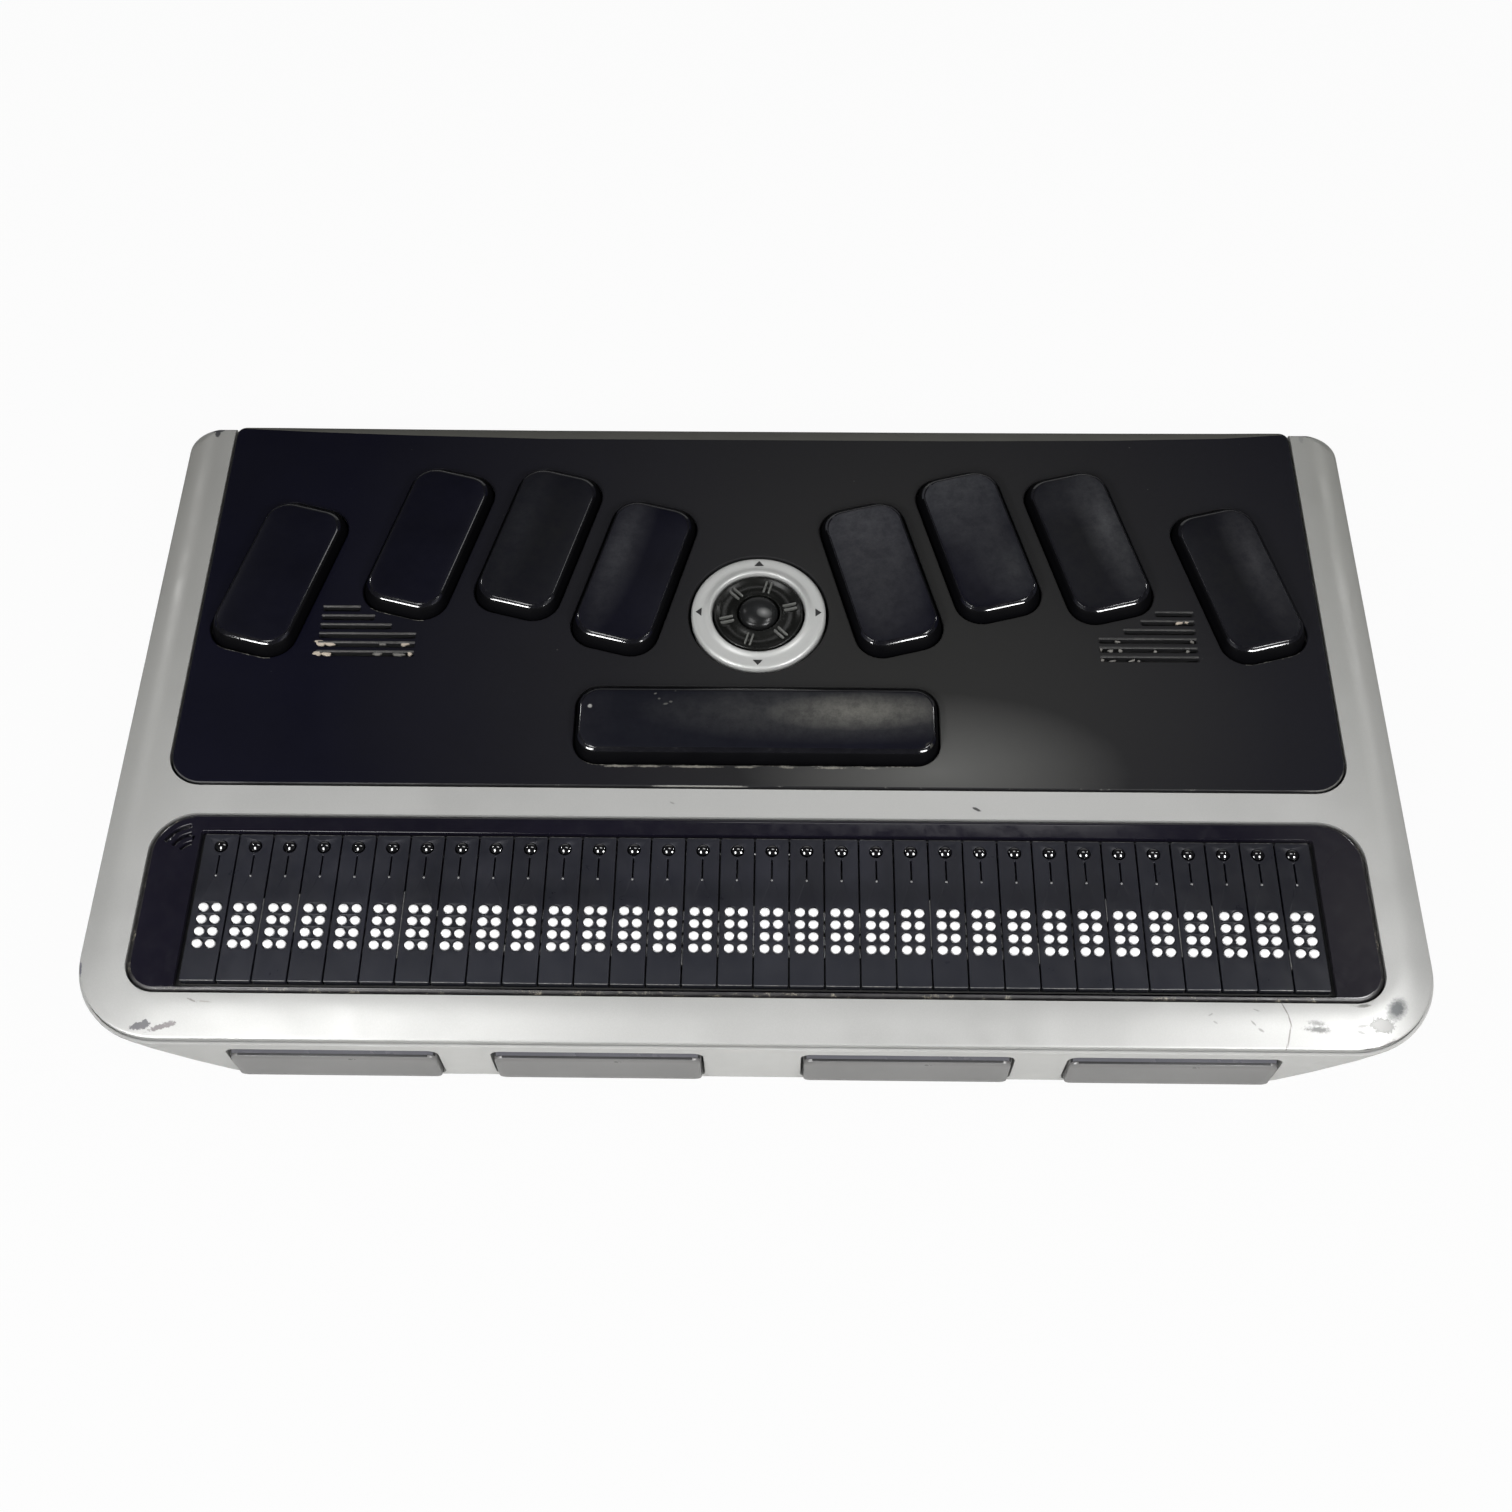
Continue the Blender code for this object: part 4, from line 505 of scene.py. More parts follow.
def panel_edge():
    """The panel's outer edge: dark with a few pale specks, and paler where the front and the corners have rubbed."""
    surface = Surface("panel_rubbed_edge", (0.014, 0.014, 0.015), 0.42, specular=0.15)
    speck = surface.span(surface.noise(420, 4, 0.75, 0.3), 0.62, 0.70)
    base = surface.mix(speck, (0.012, 0.012, 0.013), (0.10, 0.10, 0.092))
    base = surface.marks(base, PANEL_EDGE_MARKS, surface.uneven(4.0, 520, 5, 0.8))
    return surface.finish(base, None, (speck, 0.2, 0.02))


# Painted sheen on the key tops, where the lamps' broad reflections fall, in each key's own frame
WIDE_PAINTED_SHEEN = (0, 0, 2.5, 14, 25, 20, 0, 0.1, 0.9, 1, (0.0085, 0.0088, 0.0098))
PAINTED_SHEEN_LEFT = (
    WIDE_PAINTED_SHEEN,
    (-4.4, 3, 2.5, 2.6, 12, 9, 0, 0.12, 0.95, 0.8, (0.0165, 0.017, 0.02)),
    (6, -15, 2.5, 3, 4, 9, 0, 0.2, 0.9, 0.5, (0.01, 0.01, 0.012)),
)

PAINTED_SHEEN_INNER_LEFT = (
    (-4.4, 4, 2.5, 2.9, 12, 9, 0, 0.12, 0.95, 0.95, (0.034, 0.0345, 0.039)),
    (-4.6, 6, 2.5, 1.4, 8, 9, 0, 0.2, 0.95, 0.6, (0.037, 0.038, 0.043)),
)

PAINTED_SHEEN_INNER_RIGHT = (
    (-1, 14.5, 2.5, 9, 15, 12, 0, 0.12, 0.95, 1, (0.06, 0.061, 0.067)),
    (-3, -1, 2.5, 6, 12, 12, 0, 0.16, 0.95, 0.8, (0.027, 0.0275, 0.031)),
)

PAINTED_SHEEN_SECOND_RIGHT = (
    (-0.5, 17, 2.5, 8.5, 10, 12, 0, 0.12, 0.95, 1, (0.062, 0.064, 0.069)),
    (1, 4, 2.5, 5.5, 10, 12, 0, 0.16, 0.95, 0.8, (0.028, 0.0285, 0.033)),
    (4.4, -8, 2.5, 3.8, 6, 12, 0, 0.16, 0.95, 0.9, (0.033, 0.034, 0.037)),
)

PAINTED_SHEEN_RIGHT = (
    WIDE_PAINTED_SHEEN,
    (4.8, 4.5, 2.5, 3, 12.5, 12, 0, 0.12, 0.95, 0.95, (0.056, 0.057, 0.061)),
    (1.5, 13, 2.5, 6, 5, 12, 0, 0.16, 0.95, 0.7, (0.027, 0.0275, 0.031)),
)

PAINTED_SHEEN_OUTER_RIGHT = (
    WIDE_PAINTED_SHEEN,
    (4.6, 3.5, 2.5, 2.7, 11, 12, 0, 0.12, 0.95, 0.9, (0.038, 0.038, 0.042)),
)

# On the space bar: a broad painted sheen, a painted hazy highlight right of the middle, and small pale spots and specks
BAR_PAINTED_SHEEN_AND_SPECKS = (
    (-20, 0, 2.5, 34, 18, 20, 0, 0.1, 0.9, 1, (0.008, 0.0086, 0.0125)),
    (14, 1.8, 2.5, 19.5, 3.8, 9, 0, 0.16, 0.95, 1, (0.048, 0.049, 0.049)),
    (20, 1.9, 2.5, 9.6, 2.3, 9, 2, 0.18, 0.95, 1, (0.138, 0.135, 0.121)),
    (-34, 2, 2.5, 4, 6, 9, 0, 0.12, 0.9, 0.7, (0.016, 0.016, 0.02)),
    (33, -5.6, 2.5, 0.8, 0.7, 4, 30, 0.6, 0.3, 0.5, (0.12, 0.12, 0.1)),
    (-19.7, 5.6, 2.5, 0.28, 0.16, 4, 20, 0.6, 0.3, 0.8, (0.16, 0.16, 0.15)),
    (-17.6, 3.2, 2.5, 0.45, 0.2, 4, 10, 0.6, 0.3, 0.8, (0.15, 0.15, 0.14)),
    (-16.6, 3.7, 2.5, 0.3, 0.2, 4, 0, 0.6, 0.3, 0.7, (0.15, 0.15, 0.14)),
    (-15.7, 6.4, 2.5, 0.35, 0.14, 4, 40, 0.6, 0.3, 0.8, (0.16, 0.16, 0.15)),
    (-18.9, 4.4, 2.5, 0.24, 0.2, 4, 0, 0.6, 0.3, 0.7, (0.15, 0.15, 0.14)),
    (-32.2, 2.6, 2.5, 0.38, 0.38, 4, 0, 0.6, 0.3, 0.9, (0.45, 0.45, 0.43)),
)


def key_plastic(name, sheen_and_specks):
    surface = Surface(name, (0.0038, 0.0038, 0.0080), 0.34, specular=0.07)
    base = surface.drifting(0.8, 1.3, 70, 4, 0.6)
    # Painted sheen, and on the space bar small pale spots and specks as well
    base = surface.marks(base, sheen_and_specks, surface.uneven(2.0, 210, 6, 0.75))
    mottle = surface.span(surface.noise(330, 7, 0.85), 0.38, 0.62, 0.0, 0.46)
    base = surface.mix(mottle, base, tuple(value * 0.9 for value in surface.colour))
    base = surface.dusted(base, (1300, 2, 0.75), 0.78, 0.81, 0.5, (0.13, 0.13, 0.12))
    return surface.finish(base, (0.30, 0.37, MIDDLE, 420, 4, 0.6), (surface.noise(2600, 2, 0.5), 0.22, 0.012))


# The bezel is a little lighter at its right end
BEZEL_RIGHT_LIGHTER = ((110, -45, 17.2, 11, 24, 9, 0, 0.3, 0.95, 0.9, (0.024, 0.0225, 0.026)),)


def gloss_plastic():
    surface = Surface("gloss_black", (0.0070, 0.0062, 0.0115), 0.12, coat=0.25)
    base = surface.marks(surface.drifting(0.85, 1.25, 40, 4, 0.6), BEZEL_RIGHT_LIGHTER, surface.uneven(1.0, 40, 4, 0.6))
    base = surface.dusted(base, (1100, 2, 0.75), 0.80, 0.83, 0.4, (0.12, 0.12, 0.11))
    gloss = (0.08, 0.22, (0.35, 0.75), 300, 5, 0.75, 0.4)
    return surface.finish(base, gloss, (surface.noise(1800, 2, 0.5), 0.06, 0.008))


# Painted shade between the slots and the pins and at the right end, and painted light along the front
CAP_PAINTED_LIGHT_AND_SHADE = (
    (0, -40.1, 16.9, 104, 2.3, 3, 0, 0.5, 0.8, 0.55, (0.005, 0.0054, 0.0085)),
    (104, -40, 16.9, 44, 26, 3, 0, 0.4, 0.95, 0.75, (0.0055, 0.0058, 0.0095)),
    (0, -55.6, 16.9, 84, 3.6, 3, 0, 0.4, 0.95, 0.6, (0.021, 0.0225, 0.029)),
)


def cap_plastic():
    surface = Surface("cap_blue_grey", (0.0125, 0.0130, 0.0185), 0.33, specular=0.22)
    base = surface.drifting(0.75, 1.35, 90, 4, 0.6, 0, (1, 0.5, 1))
    # Painted shade and light on the caps
    base = surface.marks(base, CAP_PAINTED_LIGHT_AND_SHADE, surface.uneven(3.0, 330, 6, 0.75))
    base = surface.dusted(base, (1600, 2, 0.75), 0.76, 0.80, 0.45, (0.13, 0.12, 0.105))
    return surface.finish(base, (0.26, 0.42, MIDDLE, 180, 5, 0.7), (surface.noise(2800, 2, 0.5), 0.25, 0.012))


def wheel_gloss():
    surface = Surface("wheel_gloss", (0.0060, 0.0062, 0.0056), 0.26, specular=0.22)
    gloss = (0.22, 0.32, (0.35, 0.75), 400, 5, 0.75, 0.4)
    return surface.finish(surface.drifting(0.8, 1.35, 90, 4, 0.6), gloss, (surface.noise(2200, 2, 0.5), 0.10, 0.010))


# A painted highlight on the select button's dome to the right of the top, inside a wider faint painted glow
SELECT_PAINTED_HIGHLIGHT = (
    (0.3, 0.3, 7.3, 3, 2.4, 3.5, 0, 0.2, 0.95, 0.8, (0.020, 0.021, 0.022)),
    (1.15, -0.75, 7.3, 0.85, 0.65, 3, 0, 0.2, 0.95, 1, (0.19, 0.192, 0.19)),
)


def select_gloss():
    surface = Surface("select_gloss", (0.006, 0.006, 0.006), 0.26, specular=0.20)
    # Painted highlight on the dome
    base = surface.marks(surface.colour, SELECT_PAINTED_HIGHLIGHT, surface.uneven(1.0, 600, 4, 0.7))
    return surface.finish(base, None, (surface.noise(2200, 2, 0.5), 0.10, 0.010))


SILVER = silver_paint()
CASE = moulded("case_warm_grey", (0.415, 0.415, 0.403), 0.46, 1900, 0.03, 0.05, marks=CASE_SHADE)
SOFT = soft_touch()
KEY = key_plastic("key_black_satin", ())
GLOSS = gloss_plastic()
CAP = cap_plastic()
WHEEL = wheel_gloss()
SELECT = select_gloss()
PANEL_EDGE = panel_edge()
BEZEL_EDGE = edge_wear_and_highlight("bezel_rubbed_edge", (0.010, 0.009, 0.010), (0.25, 0.225, 0.175), 430, 0.55, 0.65)
KEYHOLE_EDGE = edge_wear_and_highlight("keyhole_rubbed_edge", (0.016, 0.016, 0.016), (0.32, 0.31, 0.27), 330, 0.48, 0.60)
# The caps' front and rear edges: a lighter grey that paints their highlight, with rubbed tan patches
CAP_EDGE_PAINTED_HIGHLIGHT_AND_WEAR = edge_wear_and_highlight("cap_edge_painted_highlight_and_wear", (0.070, 0.071, 0.075), (0.24, 0.235, 0.22), 330, 0.42, 0.62)
KEY_EDGE = edge_wear_and_highlight("key_rubbed_edge", (0.006, 0.006, 0.008), (0.018, 0.018, 0.020), 300, 0.45, 0.75, 0.09, 0.13)
# Grille rims: a lighter grey that paints the highlight on the slots' rear edges, stronger on the left grille than on
# the right, with rubbed patches
SLOT_RIM_PAINTED_HIGHLIGHT_AND_WEAR = edge_wear_and_highlight("slot_rim_painted_highlight_and_wear", (0.040, 0.039, 0.039), (0.085, 0.083, 0.081), 160, 0.36, 0.64)
SLOT_RIM_PAINTED_HIGHLIGHT_AND_WEAR_RIGHT = edge_wear_and_highlight("slot_rim_painted_highlight_and_wear_right", (0.018, 0.018, 0.018), (0.050, 0.049, 0.047), 160, 0.36, 0.64)
# The wheel's ribs: a lighter grey that paints the highlights they catch
WHEEL_RIB_PAINTED_HIGHLIGHT = moulded("wheel_rib_painted_highlight", (0.11, 0.112, 0.105), 0.24, 2500, 0.01, 0.2)
# The panel's rolled rear edge: a lighter olive grey that paints the sheen on its faces turned to the rear
PANEL_ROLL_PAINTED_SHEEN = moulded("panel_rear_painted_sheen", (0.050, 0.049, 0.041), 0.55, 2600, 0.01, 0.08)
DOME = moulded("routing_dome_polish", (0.003, 0.003, 0.004), 0.09, 2500, 0.002, spread=0.02, ior=2.3)
LINT_CREAM = moulded("lint_cream", (0.40, 0.345, 0.28), 0.8, 1800, 0.05, 0.25)
LINT_GREY = moulded("lint_grey", (0.125, 0.12, 0.11), 0.8, 1800, 0.05, 0.35)
PIN = moulded("pin_white", (0.97, 0.97, 0.97), 0.35, 4000, 0.003, 0.01)
THUMB = moulded("thumb_key_grey", (0.150, 0.148, 0.146), 0.30, 2600, 0.010, 0.06, 0.03)
# A darker bluish copy of the thumb keys' grey that paints the shade on their top bevels
THUMB_BEVEL_PAINTED_SHADE = moulded("thumb_key_bevel_painted_shade", (0.095, 0.095, 0.108), 0.28, 2600, 0.010, 0.08, 0.03)
KEY_SIDE = moulded("key_side_black", (0.0022, 0.0022, 0.0028), 0.45, 2500, 0.01, specular=0.05)
RING = moulded("ring_pale_silver", (0.44, 0.445, 0.435), 0.38, 5000, 0.006, 0.03, 0.03, metallic=0.2)
RUBBER = moulded("black_rubber", (0.016, 0.016, 0.016), 0.78, 1500, 0.04)
STEEL = moulded("plated_steel", (0.50, 0.50, 0.49), 0.30, 3000, 0.006, metallic=1.0)
BOARD = moulded("board_green", (0.018, 0.105, 0.045), 0.42, 900, 0.03)
CERAMIC = moulded("reed_ceramic", (0.42, 0.35, 0.22), 0.5, 1800, 0.02)
PLAIN = moulded("plain_black_plastic", (0.015, 0.015, 0.016), 0.46, 2000, 0.02)
# Deep black plastic; in the thumb keys' grooves it is painted shade
DEEP_BLACK_AND_GROOVE_SHADE = moulded("deep_black_plastic_and_groove_shade", (0.006, 0.006, 0.007), 0.6, 1500, 0.02)
MARK = moulded("arrow_dark", (0.008, 0.008, 0.009), 0.5, 2000, 0.01)
HAIRLINE = moulded("cap_hairline", (0.20, 0.20, 0.20), 0.4, 2500, 0.01)
GOLD = moulded("contact_gold", (0.72, 0.50, 0.18), 0.28, 3000, 0.004, metallic=1.0)


# Main sizes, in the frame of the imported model; boxes are left, right, front, rear

BODY_X = 121.9
FRONT = -69.7
REAR = 69.7
DECK = 17.2
PLATE_LOW = 15.75
BODY_CORNER = 16.5
REAR_CORNER = 6.2
BEZEL = (-112.6, 112.6, -60.3, -24.7)
BEZEL_RADII = (5.8, 5.8, 8.0, 8.0)
PANEL = (-112.1, 112.0, -17.85, 69.4)
PANEL_RADII = (6.6, 6.6, 2.0, 2.0)
CELLS = 32
PITCH = 6.42
DOT = 2.42
CAP_FRONT = -58.2
CAP_REAR = -28.7
CAP_TOP = 16.9
PIN_Y = -47.3
ROUTING_Y = -31.2
NAV = (0.0, 22.0)
NAV_HOLE = 14.1
NAV_PIVOT = 15.0

# Keys and space bar: width, length and corner; the place of the space bar, and the shift of the keys in x
KEY_SIZE = (17.1, 36.6, 5.0)
BAR_SIZE = (69.8, 16.8, 4.5)
SPACE = (0.0, -4.2)
KEY_SHIFT = -0.3
LEAN = math.radians(15.0)

# Pairs of keys: left node, right node, distance from the middle, and y
KEY_PAIRS = (
    ("dot_1_key", "dot_4_key", 24.9, 30.8), ("dot_2_key", "dot_5_key", 44.95, 39.1),
    ("dot_3_key", "dot_6_key", 67.45, 39.1), ("backspace_key", "enter_key", 96.95, 29.9),
)
KEYS = {}
for index, sign in enumerate((-1, 1)):
    for *nodes, x, y in KEY_PAIRS:
        KEYS[nodes[index]] = (sign * x + KEY_SHIFT, y, sign * LEAN)

# Thumb keys: node, x, and the shift of the visible bar in x
THUMB_KEYS = (
    ("previous_thumb_key", -75.2, 0.3), ("back_thumb_key", -27.65, 0.0),
    ("advance_thumb_key", 27.65, 0.0), ("next_thumb_key", 75.2, -0.3),
)
THUMB_LOW = 1.4
THUMB_HIGH = 12.6
THUMB_HALF = 18.6

# Height of the sockets' undersides, y of their rear faces, and the gap round them
SOCKET_LOW = 4.2
SOCKET_REAR = 68.2
SOCKET_GAP = 0.25

# Sockets: node, x, width, height, depth of the mouth, and the mouth's radius, or its width, height and corner
SOCKETS = {
    "power_inlet": (-95.0, 9.0, 8.0, 7.6, (2.95,)),
    "network_socket": (-80.0, 15.6, 9.2, 8.0, (11.7, 6.7, 0.4)),
    "usb_socket_left": (-38.0, 14.2, 6.4, 8.4, (12.5, 4.9, 0.3)),
    "usb_socket_right": (-18.0, 14.2, 6.4, 8.4, (12.5, 4.9, 0.3)),
    "headphone_socket": (30.0, 8.0, 6.4, 8.0, (1.78,)),
    "line_in_socket": (45.0, 8.0, 6.4, 8.0, (1.78,)),
    "card_slot": (69.0, 28.0, 4.0, 8.4, (24.5, 2.3, 0.2)),
}


def corner_nodes(kind, x, front, rear):
    """Node, x and y of the four feet or of the four screws."""
    rows = (("front", front), ("rear", rear))
    return [(f"{row}_{side}_{kind}", sign * x, y) for row, y in rows for side, sign in (("left", -1), ("right", 1))]


FEET = corner_nodes("foot", 88.0, -50.0, 54.0)
SCREWS = corner_nodes("screw", 103.5, -12.5, 60.0)
DOOR = (-30.0, 15.0)
SWITCH_X = 92.0
SWITCH_TRAVEL = 4.0


def inset_loop(box, inset, radii):
    left, right, front, rear = box
    radii = [radius - inset for radius in radii]
    return rounded_loop(left + inset, right - inset, front + inset, rear - inset, radii, 14)


def grown_loop(size, growth, steps):
    width, length, corner = size
    return centred_loop(width + 2 * growth, length + 2 * growth, corner + growth, steps)


def cell_x(cell):
    return (cell - (CELLS - 1) / 2) * PITCH


def row_y(row):
    return PIN_Y + (1.5 - row) * DOT


def slanted(normal):
    """True on the faces of a rounded upper edge."""
    return 0.10 < normal.z < 0.985


# Top frame

# Share of the way from the outline to the flat deck, and fall under the deck there
FRAME_FALL = (
    (0.0, 1.50), (0.0, 1.30), (0.008, 1.20), (0.025, 1.12), (0.05, 1.06), (0.10, 0.97), (0.18, 0.83), (0.28, 0.66),
    (0.40, 0.47), (0.52, 0.30), (0.64, 0.17), (0.76, 0.08), (0.88, 0.02), (1.0, 0.0),
)
# Inset of the outline and reach of the fall, at the sides, at the front and at the rear
FRAME_INSETS = ((0.2, 6.2), (0.8, 8.0), (0.2, 1.2))
FRAME_GAP = 0.35


def frame_ring(share, drop):
    side, front, rear = (inset + share * reach for inset, reach in FRAME_INSETS)
    corner = BODY_CORNER - side
    rear_corner = max(REAR_CORNER - side, 0.6)
    radii = (corner, corner, rear_corner, rear_corner)
    return at_height(rounded_loop(-BODY_X + side, BODY_X - side, FRONT + front, REAR - rear, radii, 16), DECK - drop)


def build_frame():
    """The silver moulding: a broad fall to the front, shorter ones along the arms, and a crisp rim."""
    body = loft("frame_shell", [frame_ring(share, drop) for share, drop in FRAME_FALL])
    left, right, front, _ = PANEL
    panel = rounded_loop(
        left - FRAME_GAP, right + FRAME_GAP, front - 0.15 - FRAME_GAP, REAR + 15.0, PANEL_RADII[0] + FRAME_GAP, 14
    )
    openings = [plate("opening", [loop], 14.0, 20.0) for loop in (panel, inset_loop(BEZEL, -FRAME_GAP, BEZEL_RADII))]
    body = soft_edges(cut(body, merged("openings", openings)), 0.22, 35.0)
    place(body, (SILVER,), "top_frame", sharp=32.0)


# Bottom case

# Share of the case's height, and share of its taper there
CASE_PROFILE = ((0.0, 1.0), (0.05, 0.88), (0.35, 0.54), (0.70, 0.20), (0.96, 0.0), (1.0, 0.0))
CASE_LOW = 0.5
CASE_RISE = 14.9


def case_ring(height, inset=0.0):
    share = min(max((height - CASE_LOW) / CASE_RISE, 0.0), 1.0)
    for (low, low_taper), (high, high_taper) in zip(CASE_PROFILE, CASE_PROFILE[1:]):
        if share <= high:
            break
    taper = low_taper + (high_taper - low_taper) * (share - low) / (high - low)
    half = BODY_X - 15.2 * taper - inset
    radii = [radius - inset for radius in (BODY_CORNER, BODY_CORNER, REAR_CORNER, REAR_CORNER)]
    loop = rounded_loop(-half, half, FRONT + 0.4 * taper + inset, REAR - 1.5 * taper - inset, radii, 16)
    return at_height(loop, height)


def wall_cutter(x, half, low, high, corner, front, rear):
    """Cuts an opening between two heights through the front wall or the rear one."""
    loop = rounded_loop(x - half, x + half, low, high, corner, 6)
    return upright("opening", [loop], 0.0, rear - front, 0.0, rear)


def build_case():
    """The tub: ends drawn in towards the table, openings for the thumb keys, sockets, door, feet and screws."""
    outer = [case_ring(CASE_LOW, 0.35)]
    outer += [case_ring(z) for z in (0.75, 1.245, 3.0, 4.5, 5.715, 8.0, 9.8, 10.93, 12.4, 13.6, 14.804, 15.1, 15.4)]
    outer += [case_ring(15.4, 0.50), case_ring(15.0, 0.54)]
    inner = [case_ring(z, 2.0) for z in (2.6, 4.5, 5.715, 8.0, 10.93, 14.804, 17.0)]
    case = cut(loft("case_tub", outer), loft("hollow", inner))
    cutters = []
    for _, x, shift in THUMB_KEYS:
        span = (THUMB_LOW - 0.25, THUMB_HIGH + 0.50)
        cutters.append(wall_cutter(x + shift, THUMB_HALF + 0.40, *span, 1.9, FRONT - 3.0, FRONT + 7.2))
    for x, width, height, *_ in SOCKETS.values():
        span = (SOCKET_LOW - SOCKET_GAP, SOCKET_LOW + SOCKET_GAP + height)
        cutters.append(wall_cutter(x, width / 2 + SOCKET_GAP, *span, 0.8, REAR - 9.0, REAR + 3.0))
    cutters.append(wall_cutter(SWITCH_X + SWITCH_TRAVEL / 2, 4.8, 6.1, 9.5, 0.6, REAR - 3.8, REAR + 3.0))
    cutters.append(plate("door", [moved(centred_loop(106.6, 62.6, 4.3), *DOOR)], -1.0, 2.9))
    for _, x, y in SCREWS:
        cutters.append(plate("screw", [circle_loop(x, y, 2.5, 32)], -1.0, 2.58))
    for _, x, y in FEET:
        cutters.append(plate("seat", [circle_loop(x, y, 5.3, 48)], -1.0, 1.1))
    case = soft_edges(cut(case, merged("cutters", cutters)), 0.18, 35.0)
    place(case, (CASE,), "bottom_case", sharp=32.0)


# Keyboard panel

# Lengths of a grille's slots from the rear to the front, y of the first, step to the next and outer ends
GRILLE_LENGTHS = (7.5, 10.6, 14.2, 19.3, 19.3, 19.3)
GRILLE_REAR = 22.4
GRILLE_STEP = 2.15
GRILLE_LEFT = -87.5
GRILLE_RIGHT = 86.9
SLOT_HALF = 0.45

# How far the panel's rear edge is rolled down, as x and a share of its full roll
ROLL_SHARES = (
    (-114.0, 0.10), (-110.0, 0.16), (-95.0, 0.45), (-75.0, 0.72), (-45.0, 1.0), (40.0, 1.0), (75.0, 0.85),
    (98.0, 0.60), (108.0, 0.28), (114.0, 0.10),
)
ROLL_REACH = 3.4
ROLL_DROP = 0.6


def grille_slots():
    """Left end, right end and y of every slot: each row's left one, then its right one."""
    slots = []
    for row, length in enumerate(GRILLE_LENGTHS):
        y = GRILLE_REAR - row * GRILLE_STEP
        slots += [(GRILLE_LEFT, GRILLE_LEFT + length, y), (GRILLE_RIGHT - length, GRILLE_RIGHT, y)]
    return slots


def rear_roll():
    """Cutter that rolls the panel's rear edge down, less towards the corners."""
    rings = []
    behind, above = PANEL[3] + 2.0, DECK + 1.0
    for x, share in ROLL_SHARES:
        start = PANEL[3] - ROLL_REACH * share
        ring = [(x, behind, above), (x, start - 0.3, above), (x, start - 0.3, DECK + 0.002)]
        for step in range(1, 9):
            angle = QUARTER * step / 8
            drop = ROLL_DROP * share * (1.0 - math.cos(angle))
            ring.append((x, start + ROLL_REACH * share * math.sin(angle), DECK - drop))
        ring.append((x, behind, DECK - ROLL_DROP * share))
        rings.append(ring[::-1])
    return loft("rear_roll", rings)


def rub_rim(obj, box, radii, reach):
    """The outer rounded edge of a plate takes the second material."""
    left, right, front, rear = box

    def on_rim(x, y, z, normal):
        radius = radii[0] if y < (front + rear) / 2 else radii[2]
        across = min(x - left, right - x)
        along = min(y - front, rear - y)
        inside = min(across, along)
        if across < radius and along < radius:
            inside = radius - math.hypot(radius - across, radius - along)
        return inside < reach and slanted(normal) and y < rear - 0.6

    rub(obj, 1, on_rim)


def rub_opening(panel, x, y, lean, half, front):
    """The front edge of a key's opening takes the fifth material."""

    def on_edge(px, py, pz, normal):
        (across, along), = moved([(px - x, py - y)], 0.0, 0.0, -lean)
        return abs(across) < half and front - 1.6 < along < front and slanted(normal)

    rub(panel, 4, on_edge)


def build_panel():
    loops = [inset_loop(PANEL, 0.0, PANEL_RADII)]
    loops += [moved(grown_loop(KEY_SIZE, 0.45, 8), *key) for key in KEYS.values()]
    loops.append(moved(grown_loop(BAR_SIZE, 0.4, 8), *SPACE))
    loops.append(circle_loop(*NAV, NAV_HOLE, 96))
    for left, right, y in grille_slots():
        loops.append(rounded_loop(left, right, y - SLOT_HALF, y + SLOT_HALF, SLOT_HALF, 5))
    panel = cut(plate("panel_plate", loops, PLATE_LOW, DECK, 0.28, 3), rear_roll())
    place(panel, (SOFT, PANEL_EDGE, PANEL_ROLL_PAINTED_SHEEN, DEEP_BLACK_AND_GROOVE_SHADE, KEYHOLE_EDGE), "keyboard_panel", sharp=30.0)
    rub_rim(panel, PANEL, PANEL_RADII, 0.35)
    # Painted sheen on the rear roll's faces turned to the rear
    rub(panel, 2, lambda x, y, z, normal: y > PANEL[3] - 3.5 and normal.y > 0.01 and normal.z < 0.9999)
    rub(panel, 3, lambda x, y, z, normal: abs(normal.z) < 0.30)
    rub_opening(panel, SPACE[0] - 4.0, SPACE[1], 0.0, 30.0, -8.0)
    for name in ("backspace_key", "dot_3_key", "enter_key"):
        rub_opening(panel, *KEYS[name], 5.5, -17.6)


# Braille bezel

# Inset and height, from the foot of the side to the top
BEZEL_PROFILE = (
    (0.0, PLATE_LOW), (0.0, 16.75), (0.06, 16.92), (0.20, 17.08), (0.42, 17.20), (0.66, 17.27), (0.85, 17.30),
)
MICROPHONE = (-104.5, -33.4)


